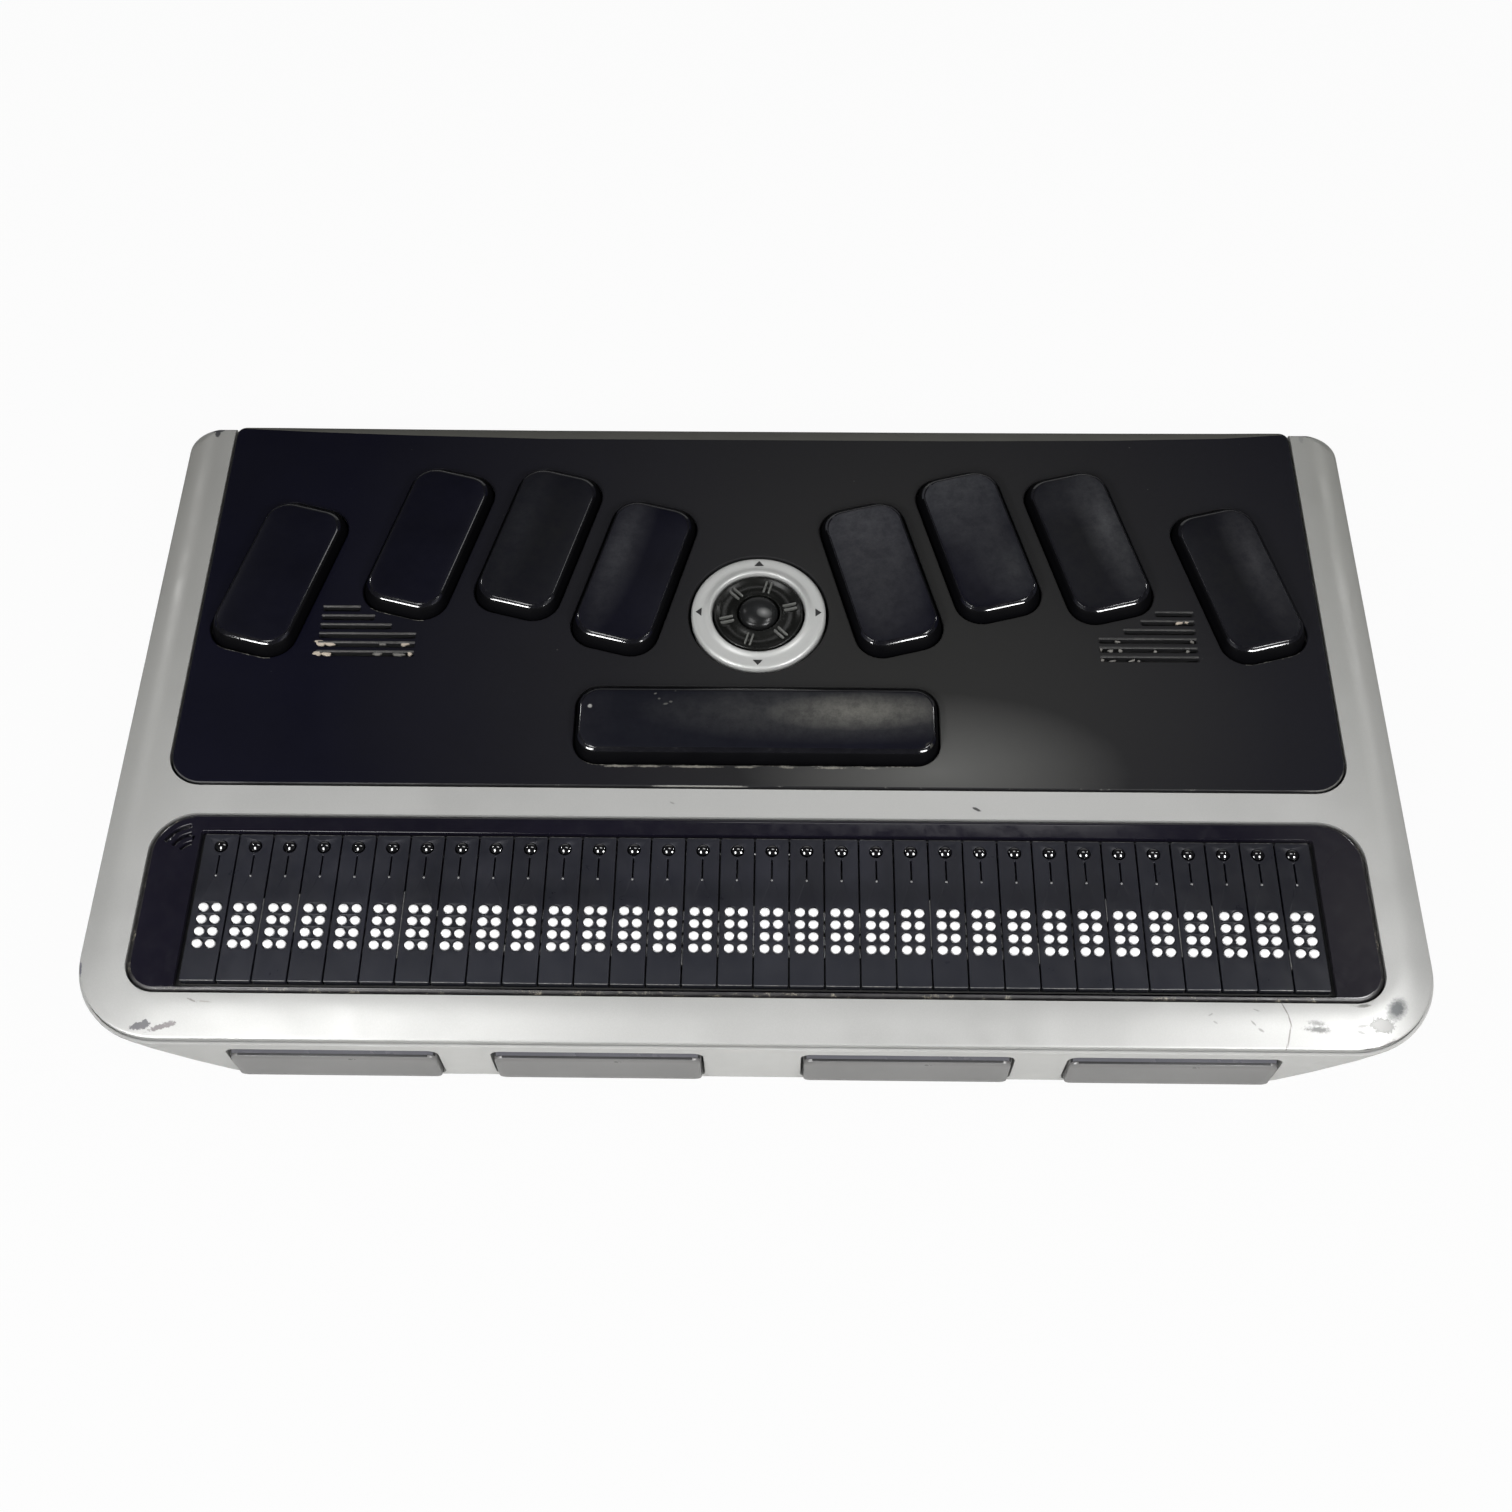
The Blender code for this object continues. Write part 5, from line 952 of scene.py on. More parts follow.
def build_bezel():
    """The glossy frame with the window and three arc-shaped slots, and a dark sill under the window's edge."""
    rings = [at_height(inset_loop(BEZEL, inset, BEZEL_RADII), height) for inset, height in BEZEL_PROFILE]
    window = rounded_loop(-103.55, 103.55, CAP_FRONT - 1.25, CAP_REAR + 0.5, 0.5, 5)
    openings = [plate("window", [window], 15.0, 18.0)]
    for radius, top in ((2.7, 18.0), (4.5, 18.01), (6.3, 18.02)):
        openings.append(plate("slot", [arc_slot(*MICROPHONE, radius, 0.8, 100.0, 52.0)], 15.0, top))
    bezel = soft_edges(cut(loft("bezel_plate", rings), merged("bezel_openings", openings)), 0.12, 50.0)
    place(bezel, (GLOSS, BEZEL_EDGE), "braille_bezel", sharp=30.0)
    rub_rim(bezel, BEZEL, BEZEL_RADII, 0.62)
    sill = rounded_loop(-105.5, 105.5, CAP_FRONT - 3.0, CAP_REAR + 2.0, 1.0, 4)
    hole = rounded_loop(-102.9, 102.9, CAP_FRONT - 0.1, CAP_REAR + 0.1, 0.3, 2)
    place(plate("window_sill", [sill, hole], 15.05, 15.6, 0.05, 1), (DEEP_BLACK_AND_GROOVE_SHADE,), sharp=30.0)


# Braille keys and space bar

# Inset at the sides, inset at the ends and height above the deck, from the foot to the crown
KEY_PROFILE = (
    (0.0, 0.0, -3.2), (0.0, 0.0, 0.0), (0.10, 0.32, 0.60), (0.24, 0.70, 1.20), (0.40, 1.08, 1.70), (0.455, 1.19, 1.815),
    (0.48, 1.225, 1.852), (0.50, 1.25, 1.875), (0.80, 1.765, 2.227), (0.84, 1.83, 2.25), (1.05, 2.08, 2.31),
    (1.5, 2.6, 2.38), (2.3, 3.6, 2.44), (3.4, 5.0, 2.50), (4.8, 6.6, 2.55), (6.4, 8.6, 2.59), (7.9, 10.6, 2.60),
)
# Materials with painted sheen, for the keys that have it
KEY_PAINTED_SHEEN = {
    "dot_2_key": ("key_black_left", PAINTED_SHEEN_LEFT),
    "dot_1_key": ("key_black_inner_left", PAINTED_SHEEN_INNER_LEFT),
    "dot_4_key": ("key_black_inner_right", PAINTED_SHEEN_INNER_RIGHT),
    "dot_5_key": ("key_black_second_right", PAINTED_SHEEN_SECOND_RIGHT),
    "dot_6_key": ("key_black_right", PAINTED_SHEEN_RIGHT),
    "enter_key": ("key_black_outer_right", PAINTED_SHEEN_OUTER_RIGHT),
}


def build_key(node, surface, size, x, y, lean):
    """A crowned bar on a flange; its rubbed edge takes the second material and its sides the third."""
    rings = [at_height(grown_loop(size, 1.1, 10), height) for height in (-4.7, -3.5)]
    width, length, corner = size
    for side, end, height in KEY_PROFILE:
        side = min(side, width / 2 - 0.3)
        end = min(end, length / 2 - 0.3)
        loop = centred_loop(width - 2 * side, length - 2 * end, max(corner - side * 0.75, 0.28), 10)
        rings.append(at_height(loop, height))
    key = loft(node + "_cap", rings)
    place(key, (surface, KEY_EDGE, KEY_SIDE), node, node + "_body", (x, y, DECK), lean, 60.0, False)
    rub(key, 1, lambda x, y, z, normal: 1.75 < z < 2.34 and normal.z < 0.975 and abs(normal.x) < 0.42)
    rub(key, 2, lambda x, y, z, normal: normal.z < 0.70)


def build_keys():
    """The keys from the left to the right, and the space bar."""
    for node, spot in sorted(KEYS.items(), key=lambda item: item[1]):
        build_key(node, key_plastic(*KEY_PAINTED_SHEEN[node]) if node in KEY_PAINTED_SHEEN else KEY, KEY_SIZE, *spot)
    build_key("space_bar", key_plastic("space_bar_black", BAR_PAINTED_SHEEN_AND_SPECKS), BAR_SIZE, *SPACE, 0.0)


# Navigation ring, wheel and select button: closed sections as (radius, height)

RING_SECTION = (
    (13.5, 0.0), (13.5, 1.85), (13.44, 2.15), (13.28, 2.38), (13.05, 2.52), (12.7, 2.60), (12.0, 2.60), (11.3, 2.56),
    (10.9, 2.61), (10.6, 2.71), (10.35, 2.83), (10.1, 2.92), (9.85, 2.95), (9.65, 2.90), (9.50, 2.77), (9.38, 2.50),
    (9.32, 2.0), (9.3, 0.0),
)
CARRIER_SECTION = (
    (13.0, -2.2), (13.0, -1.0), (12.9, -0.9), (10.4, -0.9), (10.3, -1.0), (10.3, -2.2), (10.4, -2.3), (12.9, -2.3),
)
WHEEL_SECTION = (
    (4.3, 2.62), (4.42, 2.74), (4.7, 2.72), (5.3, 2.44), (6.2, 2.24), (7.2, 2.26), (7.8, 2.46), (8.35, 2.74),
    (8.60, 2.84), (8.78, 2.80), (8.88, 2.66), (8.92, 2.45), (8.92, 0.0), (6.2, 0.0), (6.2, -1.4), (4.3, -1.4),
)
WHEEL_LOW = 14.7
SELECT_LOW = 11.2


def build_navigation():
    """The silver ring with its arrows on a carrier, the ribbed wheel in it, and the dome in the middle."""
    at = (*NAV, NAV_PIVOT)
    place(lathe("nav_ring_band", RING_SECTION, 128), (RING,), "nav_ring", "nav_ring_body", at, 0.0, 50.0, False)
    arrows = []
    for turn in range(4):
        arrows.append(plate("arrow", [[(-0.95, 11.4), (0.95, 11.4), (0.0, 12.6)]], 2.40, 2.68, 0.02, 1))
        arrows[-1].rotation_euler.z = QUARTER * turn
    place(merged("nav_arrows", arrows), (MARK,), None, "nav_ring_body", at, sharp=30.0)
    place(lathe("nav_carrier_ring", CARRIER_SECTION), (PLAIN,), "nav_carrier", "nav_carrier_body", at)

    at = (*NAV, WHEEL_LOW)
    wheel = lathe("scroll_wheel_disc", WHEEL_SECTION, 128)
    place(wheel, (WHEEL,), "scroll_wheel", "scroll_wheel_body", at, 0.0, 45.0, False)
    ribs = []
    for pair in range(6):
        for middle in (-0.52, 0.52):
            loop = rounded_loop(5.1, 7.9, middle - 0.20, middle + 0.20, 0.19, 5)
            ribs.append(plate("rib", [loop], 1.9, 2.92, 0.16, 3))
            ribs[-1].rotation_euler.z = math.radians(74.0 + 60.0 * pair)
    # The ribs' lighter grey is a painted highlight
    place(merged("scroll_wheel_ribs", ribs), (WHEEL_RIB_PAINTED_HIGHLIGHT,), None, "scroll_wheel_body", at, sharp=45.0)

    button = lathe("select_dome", dome_profile(3.9, 6.05, 1.55, 10) + [(3.9, 0.0), (0.0, 0.0)], 64)
    place(button, (SELECT,), "select_button", "select_button_body", (*NAV, SELECT_LOW), 0.0, 50.0, False)


# Braille line

# Rubbed light slivers in the seams between caps: cell to the left, and where the sliver starts and ends
SLIVERS = (
    (1, -50.9, -41.8), (2, -48.5, -40.9), (5, -53.4, -40.2), (6, -45.0, -44.0), (8, -52.0, -50.6), (11, -49.5, -45.0),
    (13, -54.2, -52.1), (15, -51.2, -42.5), (18, -46.8, -43.9), (20, -50.2, -41.0), (23, -53.3, -49.4),
    (25, -44.9, -40.4), (27, -51.8, -44.1), (28, -47.7, -41.6), (30, -54.0, -50.2),
)
PIN_HOLE = 1.03
BUTTON_HOLE = 1.25
SEAM_HALF = 0.15
END_REACH = 0.21
DOT_SECTION = ((0.0, 0.14), (0.12, 0.12), (0.21, 0.05), (0.24, -0.1), (0.0, -0.1))
PIN_ROWS = ("pins_dots_1_4", "pins_dots_2_5", "pins_dots_3_6", "pins_dots_7_8")


def build_caps():
    """A cap for each cell, with pin holes, a button's hole and a hairline; an underlay, slivers and dots."""
    caps = []
    for cell in range(CELLS):
        x = cell_x(cell)
        left, right = x - PITCH / 2 + SEAM_HALF, x + PITCH / 2 - SEAM_HALF
        if cell == 0:
            left -= END_REACH
        if cell == CELLS - 1:
            right += END_REACH
        loops = [rounded_loop(left, right, CAP_FRONT, CAP_REAR, 0.25, 3)]
        for row in range(4):
            loops += [circle_loop(x + side * DOT, row_y(row), PIN_HOLE, 20) for side in (-0.5, 0.5)]
        loops.append(circle_loop(x, ROUTING_Y, BUTTON_HOLE, 28))
        loops.append(rounded_loop(x - 0.14, x + 0.14, ROUTING_Y - 5.7, ROUTING_Y - 1.75, 0.12, 3))
        caps.append(plate("cap", loops, 15.32, CAP_TOP, 0.12, 1))
    strip = merged("cell_cap_row", caps)
    place(strip, (CAP, CAP_EDGE_PAINTED_HIGHLIGHT_AND_WEAR), "cell_caps", sharp=35.0)
    # Painted highlight, with wear, on the caps' front and rear edges
    rub(strip, 1, lambda x, y, z, normal: not CAP_FRONT + 0.1 <= y <= CAP_REAR - 0.1 and 0.1 < normal.z < 0.98)

    bed = [rounded_loop(-102.6, 102.6, CAP_FRONT + 0.2, CAP_REAR - 0.2, 0.2, 2)]
    for y, half in [(row_y(row), 1.08) for row in range(4)] + [(ROUTING_Y, 1.4)]:
        bed.append(rounded_loop(-101.7, 101.7, y - half, y + half, 0.2, 2))
    place(plate("cap_underlay", bed, 15.06, 15.30, 0.03, 1), (DEEP_BLACK_AND_GROOVE_SHADE,), sharp=30.0)

    slivers = []
    for cell, front, rear in SLIVERS:
        x = cell_x(cell) + PITCH / 2
        slivers.append(plate("sliver", [rounded_loop(x - 0.07, x + 0.07, front, rear, 0.06, 3)], 15.4, 16.86, 0.02, 1))
    place(merged("cap_slivers", slivers), (CAP_EDGE_PAINTED_HIGHLIGHT_AND_WEAR,), sharp=30.0)

    dots = [lathe("dot", DOT_SECTION, 12) for cell in range(CELLS)]
    for cell, dot in enumerate(dots):
        dot.location = (cell_x(cell) * MM, (ROUTING_Y - 6.1) * MM, CAP_TOP * MM)
    place(merged("cap_dots", dots), (HAIRLINE,), sharp=50.0, weighted=False)


def build_pins():
    """Four rows of pins, each on a rail of its own."""
    section = dome_profile(0.85, 17.0, 0.5, 6) + [(0.85, 14.5), (0.0, 14.5)]
    for row, node in enumerate(PIN_ROWS):
        pieces = [block("rail", (-101.45, 101.45), (-0.95, 0.95), (14.0, 15.0), 0.1, 1)]
        for cell in range(CELLS):
            for side in (-0.5, 0.5):
                pin = lathe("pin", section, 20)
                pin.location.x = (cell_x(cell) + side * DOT) * MM
                pin.scale = (1.06, 0.90, 1.0)
                pieces.append(pin)
        pins = merged(node + "_row", pieces)
        place(pins, (PIN,), node, node + "_body", (0.0, row_y(row), 0.0), 0.0, 50.0, False)


def build_routing():
    """The routing buttons: caps of a sphere on one rail, with their rims a little rounded."""
    section = [(0.0, 17.30)]
    for step in range(1, 8):
        reach = 1.05 * math.sin(QUARTER * step / 7)
        section.append((reach, 15.10 + math.sqrt(2.2 ** 2 - reach ** 2) - (0.10 if step == 7 else 0.0)))
    section += [(1.05, 14.5), (0.0, 14.5)]
    pieces = [block("rail", (-100.5, 100.5), (-1.3, 1.3), (14.0, 15.0), 0.1, 1)]
    for cell in range(CELLS):
        pieces.append(lathe("button", section, 32))
        pieces[-1].location.x = cell_x(cell) * MM
    buttons = merged("routing_button_row", pieces)
    place(buttons, (DOME,), "routing_buttons", "routing_buttons_body", (0.0, ROUTING_Y, 0.0), 0.0, 50.0, False)


# Thumb keys

# Depth behind the face, inset at the ends and the foot, and drop of the top edge, from the root to the face
THUMB_PROFILE = (
    (6.2, 0.0, 0.0), (1.75, 0.0, 0.0), (1.55, 0.02, 0.05), (0.50, 0.10, 1.00), (0.46, 0.12, 1.08), (0.80, 0.14, 1.14),
    (0.80, 0.16, 1.46), (0.18, 0.18, 1.52), (0.05, 0.24, 1.62), (0.0, 0.40, 1.80), (0.0, 1.6, 2.8),
)
THUMB_FACE = FRONT - 0.5


def thumb_ring(shift, depth, side, top):
    full = THUMB_HIGH - THUMB_LOW
    ring = []
    for x, z in rounded_loop(-THUMB_HALF, THUMB_HALF, THUMB_LOW, THUMB_HIGH, (1.3, 1.3, 1.8, 1.8), 8):
        rise = (z - THUMB_LOW) / full
        z = THUMB_LOW + side * (1.0 - rise) + rise * (full - top)
        ring.append((x * (1.0 - side / THUMB_HALF) + shift, THUMB_FACE + depth, z))
    return ring


def build_thumb_keys():
    """Grey bars on flanges; the bevel above the face takes the second material, a darker copy that paints its shade,
    and the groove in it the third, black that paints the groove's shade.
    """
    for node, x, shift in THUMB_KEYS:
        bar = loft("bar", [thumb_ring(shift, *row) for row in THUMB_PROFILE])
        flange = block("flange", (-19.95, 19.95), (-67.0, -65.8), (1.4, 13.4), 0.1, 1)
        key = merged(node + "_bar", [bar, flange])
        place(key, (THUMB, THUMB_BEVEL_PAINTED_SHADE, DEEP_BLACK_AND_GROOVE_SHADE), node, node + "_body", (x, 0.0, 0.0), 0.0, 50.0, False)
        # Painted shade: black in the groove, then a darker grey on the bevel
        rub(key, 2, lambda x, y, z, normal: z > 11.09 and y > THUMB_FACE + 0.25)
        rub(key, 1, lambda x, y, z, normal: z > 11.50 and y > THUMB_FACE + 0.3)


# Grilles, sockets, underside

# Lint in the slots of the grilles: x, y, length, width, lean in degrees, and 1 for cream or 0 for grey
LINT = (
    (-87.0, 14.35, 2.3, 1.25, -6.0, 1), (-85.2, 14.15, 1.9, 0.75, -8.0, 1), (-70.2, 14.3, 1.7, 0.95, 14.0, 1),
    (-74.6, 14.15, 1.4, 0.35, 0.0, 0), (-87.4, 11.85, 1.6, 1.15, 0.0, 1), (-85.5, 11.65, 1.9, 0.85, -10.0, 1),
    (-75.4, 11.8, 1.7, 0.55, 4.0, 0), (-71.2, 11.7, 2.3, 0.6, 0.0, 0), (-69.0, 11.9, 0.8, 1.05, 20.0, 1),
    (83.9, 20.6, 1.5, 0.55, 12.0, 1), (85.4, 20.8, 0.8, 0.5, -14.0, 1),
    (67.9, 14.2, 0.4, 0.9, 0.0, 0), (69.7, 13.8, 1.0, 0.6, 0.0, 0), (71.6, 13.9, 0.8, 0.6, -30.0, 0),
    (78.5, 13.7, 0.6, 0.5, 0.0, 0), (84.9, 13.8, 0.7, 0.5, 10.0, 0), (67.9, 11.6, 0.7, 0.6, 30.0, 0),
    (69.9, 11.4, 1.3, 0.3, 8.0, 0), (73.7, 11.5, 1.4, 0.35, 20.0, 0), (75.1, 11.4, 0.5, 0.4, 0.0, 0),
    (71.2, 16.0, 1.0, 0.35, -10.0, 0), (86.0, 16.1, 0.8, 0.4, -30.0, 0),
)


def tuft_loop(x, y, length, width, lean, seed):
    loop = []
    for step in range(20):
        angle = 2 * math.pi * step / 20
        wobble = 1.0 + 0.16 * math.sin(3 * angle + seed) + 0.10 * math.sin(5 * angle + 2 * seed)
        loop.append((0.5 * length * wobble * math.cos(angle), 0.5 * width * wobble * math.sin(angle)))
    return moved(loop, x, y - 0.10, math.radians(lean))


def build_grilles():
    """A fine raised rim along the rear of each slot, in a lighter grey that paints the highlight on the slot's rear
    edge, and lint caught in the slots.
    """
    # Painted highlight on the rims, stronger on the left grille than on the right
    for first, side, surface in ((0, "left", SLOT_RIM_PAINTED_HIGHLIGHT_AND_WEAR), (1, "right", SLOT_RIM_PAINTED_HIGHLIGHT_AND_WEAR_RIGHT)):
        rims = []
        for left, right, y in grille_slots()[first::2]:
            loop = rounded_loop(left - 0.10, right + 0.05, y + 0.36, y + 0.84, 0.22, 4)
            rims.append(plate("rim", [loop], 17.0, 17.26, 0.08))
        place(merged("grille_rims_" + side, rims), (surface,), sharp=50.0)
    for kind, (name, surface) in enumerate((("grey", LINT_GREY), ("cream", LINT_CREAM))):
        loops = [tuft_loop(*row[:5], seed) for seed, row in enumerate(LINT) if row[5] == kind]
        tufts = [plate("tuft", [loop], 16.7, 17.24, 0.12) for loop in loops]
        place(merged("grille_lint_" + name, tufts), (surface,), sharp=50.0)


def socket_shell(node):
    """Builds a shell, of plastic where its mouth is round and of metal elsewhere, and returns its x."""
    x, width, height, depth, mouth = SOCKETS[node]
    middle = SOCKET_LOW + height / 2
    if len(mouth) == 1:
        hollow = circle_loop(0.0, middle, *mouth, 40)
        corner, steps, length, rounding, surface = 0.6, 4, 9.5, 0.2, PLAIN
    else:
        half, rise = mouth[0] / 2, mouth[1] / 2
        hollow = rounded_loop(-half, half, middle - rise, middle + rise, mouth[2], 5)
        corner, steps, length, rounding, surface = mouth[2] + 0.3, 5, 10.0, 0.12, STEEL
    outline = rounded_loop(-width / 2, width / 2, SOCKET_LOW, SOCKET_LOW + height, corner, steps)
    shell = upright(node + "_shell", [outline], 0.0, length, x, SOCKET_REAR, 0.1, 1)
    shell = soft_edges(cut(shell, upright("hollow", [hollow], -3.0, depth, x, SOCKET_REAR)), rounding, 40.0)
    place(shell, (surface,), node)
    return x


def contact_row(name, lefts, width, y_span, z_span, edge):
    strips = [block("strip", (left, left + width), y_span, z_span, edge, 1) for left in lefts]
    place(merged(name, strips), (GOLD,))


def build_sockets():
    """The rear sockets with a pin, collars, tongues and contacts."""
    x = socket_shell("power_inlet")
    pin = lathe("power_inlet_pin", ((0.0, 0.0), (0.4125, 0.0), (0.55, 0.1375), (0.55, 5.7), (0.0, 5.7)), 32)
    pin.data.transform(Matrix.Translation((x * MM, 66.4 * MM, 8.2 * MM)) @ TO_FRONT)
    place(pin, (STEEL,))
    for node in ("headphone_socket", "line_in_socket"):
        x = socket_shell(node)
        loops = [circle_loop(0.0, SOCKET_LOW + 3.2, radius, 40) for radius in (2.5, 1.8)]
        place(upright(node + "_collar", loops, 0.0, 0.5, x, 68.75, 0.1, 1), (STEEL,))
    x = socket_shell("network_socket")
    lefts = [x + (k - 3.5) * 1.02 - 0.2 for k in range(8)]
    contact_row("network_contacts", lefts, 0.4, (60.5, 66.6), (5.75, 6.0), 0.06)
    for node in ("usb_socket_left", "usb_socket_right"):
        x = socket_shell(node)
        place(block(node + "_tongue", (x - 5.2, x + 5.2), (59.9, 67.2), (8.0, 9.6), 0.15), (PLAIN,))
        lefts = [x + (k - 1.5) * 2.3 - 0.5 for k in range(4)]
        contact_row(node + "_contacts", lefts, 1.0, (60.4, 66.6), (7.86, 8.02), 0.04)
    socket_shell("card_slot")


def build_switch():
    """A ribbed slider."""
    x = SWITCH_X
    bars = [block("knob", (x - 2.5, x + 2.5), (65.2, 69.3), (6.4, 9.2), 0.25)]
    for rib in range(4):
        left = x - 1.7 + rib * 0.95
        bars.append(block("rib", (left, left + 0.45), (69.0, 69.5), (6.7, 8.9), 0.12))
    bars.append(block("flange", (x - 3.3, x + 3.3), (64.7, 65.6), (5.6, 10.0), 0.1, 1))
    place(merged("power_switch_slider", bars), (PLAIN,), "power_switch", "power_switch_body")


def build_feet():
    section = ((0.0, 0.0), (3.9, 0.0), (4.5, 0.06), (4.85, 0.2), (5.0, 0.42), (5.0, 0.8), (0.0, 0.8))
    for node, x, y in FEET:
        place(lathe(node + "_pad", section, 64), (RUBBER,), node, at=(x, y, 0.0))


def build_screws():
    """Cross-head screws, each turned differently."""
    section = ((0.0, 0.0), (1.5, 0.0), (2.0, 0.12), (2.2, 0.4), (2.2, 1.1), (1.0, 1.1), (1.0, 13.6), (0.0, 13.9))
    for index, (node, x, y) in enumerate(SCREWS):
        cross = merged("cross", [
            block("slot", (-1.15, 1.15), (-0.22, 0.22), (-1.0, 0.55)),
            block("slot", (-0.22, 0.22), (-1.15, 1.15), (-1.0, 0.549)),
        ])
        screw = cut(lathe(node + "_head", section, 32), cross)
        place(screw, (STEEL,), node, at=(x, y, 0.8), lean=0.4 * index, sharp=35.0)


def build_door():
    """The battery door: a plate with rounded edges and five finger grooves."""
    loop = moved(centred_loop(106.0, 62.0, 4.0, 10), *DOOR)
    grooves = []
    for index in range(5):
        y = 38.0 + index * 1.4
        grooves.append(plate("groove", [rounded_loop(-40.0, -20.0, y, y + 0.6, 0.3, 4)], 0.0, 0.85))
    door = cut(plate("battery_door_plate", [loop], 0.5, 2.6, 0.25), merged("grooves", grooves))
    place(door, (CASE,), "battery_door", sharp=35.0)


# Materials of the nodes that stay as they are; the others are plain black
NODE_SURFACES = {
    "piezo_reeds": CERAMIC, "cell_backplane": BOARD, "thumb_key_board": BOARD, "key_board": BOARD, "key_mat": RUBBER,
    "main_board": BOARD, "left_speaker": DEEP_BLACK_AND_GROOVE_SHADE, "right_speaker": DEEP_BLACK_AND_GROOVE_SHADE, "microphone": STEEL, "switch_housing": STEEL,
}


def dress_nodes():
    for name, obj in NODES.items():
        obj.data.materials.clear()
        obj.data.materials.append(NODE_SURFACES.get(name, PLAIN))


# Studio, in metres

# The camera, fitted to the photograph: degrees down, turned to the right and tilted with its right side raised,
# its place, and its focal length in pixels of a frame of a known width
CAMERA_DOWN = 59.906
CAMERA_TURN = -1.4436
CAMERA_TILT = -0.7873
CAMERA_PLACE = (0.0043, -0.1838, 0.3154)
FOCAL_PIXELS = 1802.69
FRAME_PIXELS = 1512.0
SENSOR = 36.0

# Lamps over the front corners, small ones behind, soft overhead panels for the metal and a fill: name, place, size,
# power, and whether it lights matt surfaces (True) or shows in glossy ones (False)
AIM = (0.0, -0.02, 0.015)
LAMPS = (
    ("front_fill", (0.0, -0.42, 0.36), (0.34, 0.16), 1.35, True),
    ("lamp_front_left", (-0.31, -0.26, 0.34), (0.12, 0.05), 0.96, True),
    ("lamp_front_right", (0.32, -0.26, 0.35), (0.12, 0.05), 0.9, True),
    ("strip_left", (-0.285, -0.235, 0.35), (0.20, 0.05), 2.2, False),
    ("strip_right", (0.285, -0.235, 0.35), (0.21, 0.05), 2.2, False),
    ("lamp_rear_left", (-0.54, 0.48, 0.56), (0.05, 0.05), 0.34, False),
    ("lamp_rear_right", (0.54, 0.48, 0.56), (0.05, 0.05), 0.34, False),
    ("overhead_left", (-0.19, -0.05, 0.50), (0.20, 0.12), 0.83, False),
    ("overhead_right", (0.30, -0.03, 0.48), (0.14, 0.10), 1.1, False),
    ("ceiling_panel", (0.10, 0.50, 0.79), (0.30, 0.14), 0.5, False),
)


def build_floor():
    """A matt floor that looks nearly white to the camera."""
    bm = bmesh.new()
    bmesh.ops.create_grid(bm, x_segments=1, y_segments=1, size=6.0)
    floor = from_bmesh("studio_floor", outward(bm))
    floor.location.z = -0.02 * MM
    material = bpy.data.materials.new("studio_white")
    material.use_nodes = True
    tree = material.node_tree
    shader = tree.nodes["Principled BSDF"]
    feed(tree, shader, {"Base Color": (0.62, 0.62, 0.61), "Roughness": 0.9, "Specular IOR Level": 0.0})
    glow = add_node(tree, "Emission", {"Color": (0.985, 0.985, 0.985), "Strength": 1.0})
    path = add_node(tree, "LightPath", {})
    share = add_node(tree, "Math", {0: path.outputs["Is Camera Ray"], 1: 0.972}, operation="MULTIPLY")
    mix = add_node(tree, "MixShader", {
        "Fac": share.outputs["Value"], 1: shader.outputs["BSDF"], 2: glow.outputs["Emission"],
    })
    feed(tree, tree.nodes["Material Output"], {"Surface": mix.outputs["Shader"]})
    floor.data.materials.append(material)


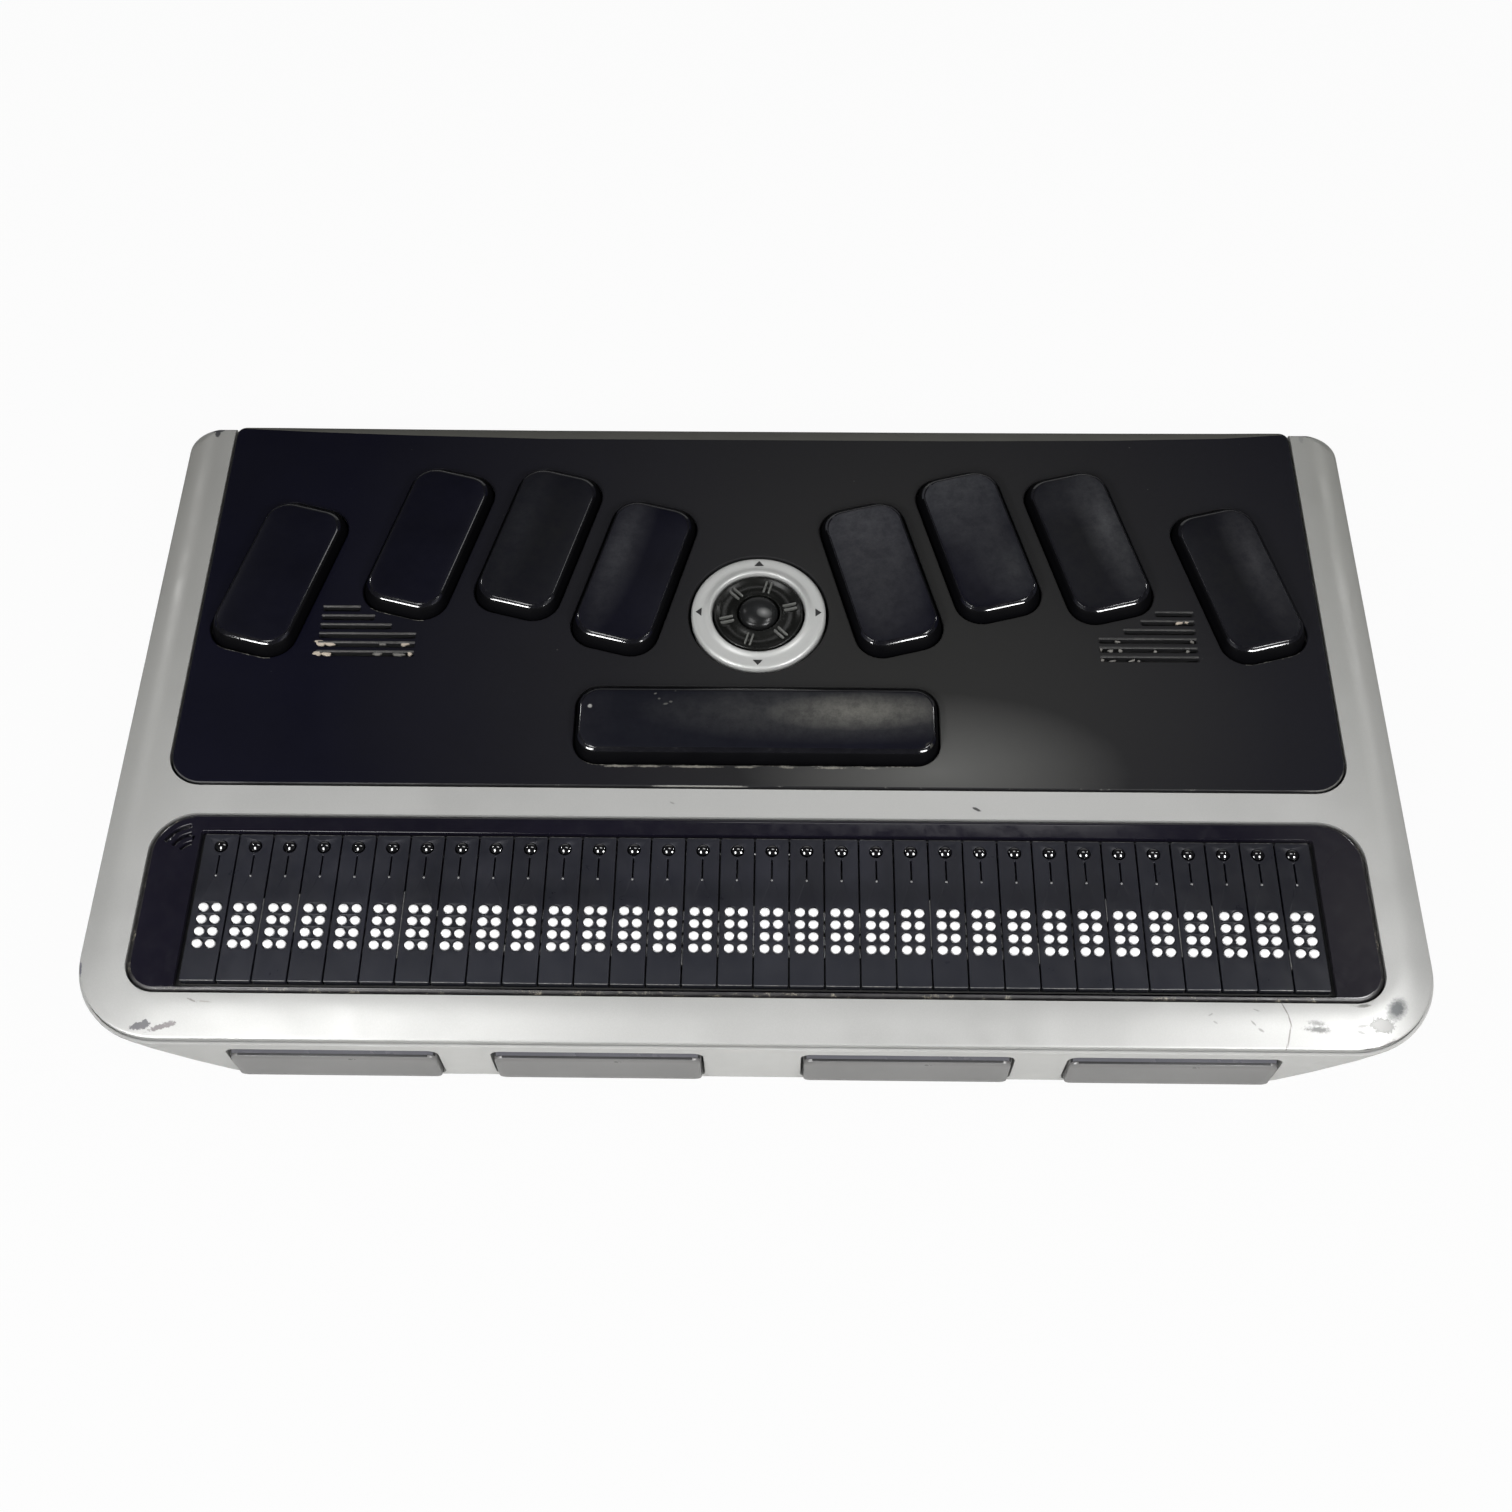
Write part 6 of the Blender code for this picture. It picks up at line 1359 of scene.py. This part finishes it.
def build_world():
    """White to the camera, soft light on matt surfaces, and in glossy ones dim but for a patch low behind."""
    world = bpy.data.worlds.new("studio")
    bpy.context.scene.world = world
    world.use_nodes = True
    tree = world.node_tree
    tree.nodes.clear()
    generated = add_node(tree, "TexCoord", {}).outputs["Generated"]
    toward = add_node(tree, "VectorMath", {0: generated, 1: (0.0, 0.94, -0.34)}, operation="DOT_PRODUCT")
    patch = add_node(tree, "MapRange", {
        "Value": toward.outputs["Value"], "From Min": 0.62, "From Max": 0.98, "To Min": 0.03, "To Max": 0.75,
    })
    lights = []
    for grey, strength in ((1.0, 0.40), (1.0, patch.outputs["Result"]), (0.985, 1.0)):
        node = add_node(tree, "Background", {"Color": (grey,) * 3, "Strength": strength})
        lights.append(node.outputs["Background"])
    path = add_node(tree, "LightPath", {})
    glossy = add_node(tree, "MixShader", {"Fac": path.outputs["Is Glossy Ray"], 1: lights[0], 2: lights[1]})
    seen = add_node(tree, "MixShader", {
        "Fac": path.outputs["Is Camera Ray"], 1: glossy.outputs["Shader"], 2: lights[2],
    })
    add_node(tree, "OutputWorld", {"Surface": seen.outputs["Shader"]})


def build_lights():
    for name, spot, (width, depth), power, on_matt in LAMPS:
        data = bpy.data.lights.new(name, "AREA")
        data.shape = "RECTANGLE"
        data.size = width
        data.size_y = depth
        data.energy = power
        lamp = new_object(name, data)
        lamp.location = spot
        aim = (spot[0], *AIM[1:]) if name.startswith("strip") else AIM
        lamp.rotation_euler = (Vector(aim) - Vector(spot)).to_track_quat("-Z", "Y").to_euler()
        lamp.visible_diffuse = on_matt
        lamp.visible_glossy = not on_matt


def build_camera():
    """The photograph's view: steeply down, turned slightly to the left and tilted slightly."""
    down, turn, tilt = (math.radians(angle) for angle in (CAMERA_DOWN, CAMERA_TURN, CAMERA_TILT))
    forward = Vector((math.sin(turn) * math.cos(down), math.cos(turn) * math.cos(down), -math.sin(down)))
    level = Vector((math.cos(turn), -math.sin(turn), 0.0))
    raised = Vector((math.sin(turn) * math.sin(down), math.cos(turn) * math.sin(down), math.cos(down)))
    right = level * math.cos(tilt) + raised * math.sin(tilt)
    up = raised * math.cos(tilt) - level * math.sin(tilt)
    data = bpy.data.cameras.new("camera")
    data.sensor_width = SENSOR
    data.sensor_fit = "HORIZONTAL"
    data.lens = SENSOR * FOCAL_PIXELS / FRAME_PIXELS
    camera = new_object("camera", data)
    camera.matrix_world = Matrix.Translation(CAMERA_PLACE) @ Matrix((right, up, -forward)).transposed().to_4x4()
    bpy.context.scene.camera = camera


def main():
    for build in (
        build_camera, dress_nodes, build_frame, build_case, build_panel, build_bezel, build_keys, build_navigation,
        build_caps, build_pins, build_routing, build_thumb_keys, build_grilles, build_sockets, build_switch,
        build_feet, build_screws, build_door, build_floor, build_world, build_lights,
    ):
        build()
    bpy.context.scene.view_settings.view_transform = "Standard"
    bpy.context.scene.view_settings.look = "None"


main()
bpy.context.view_layer.update()
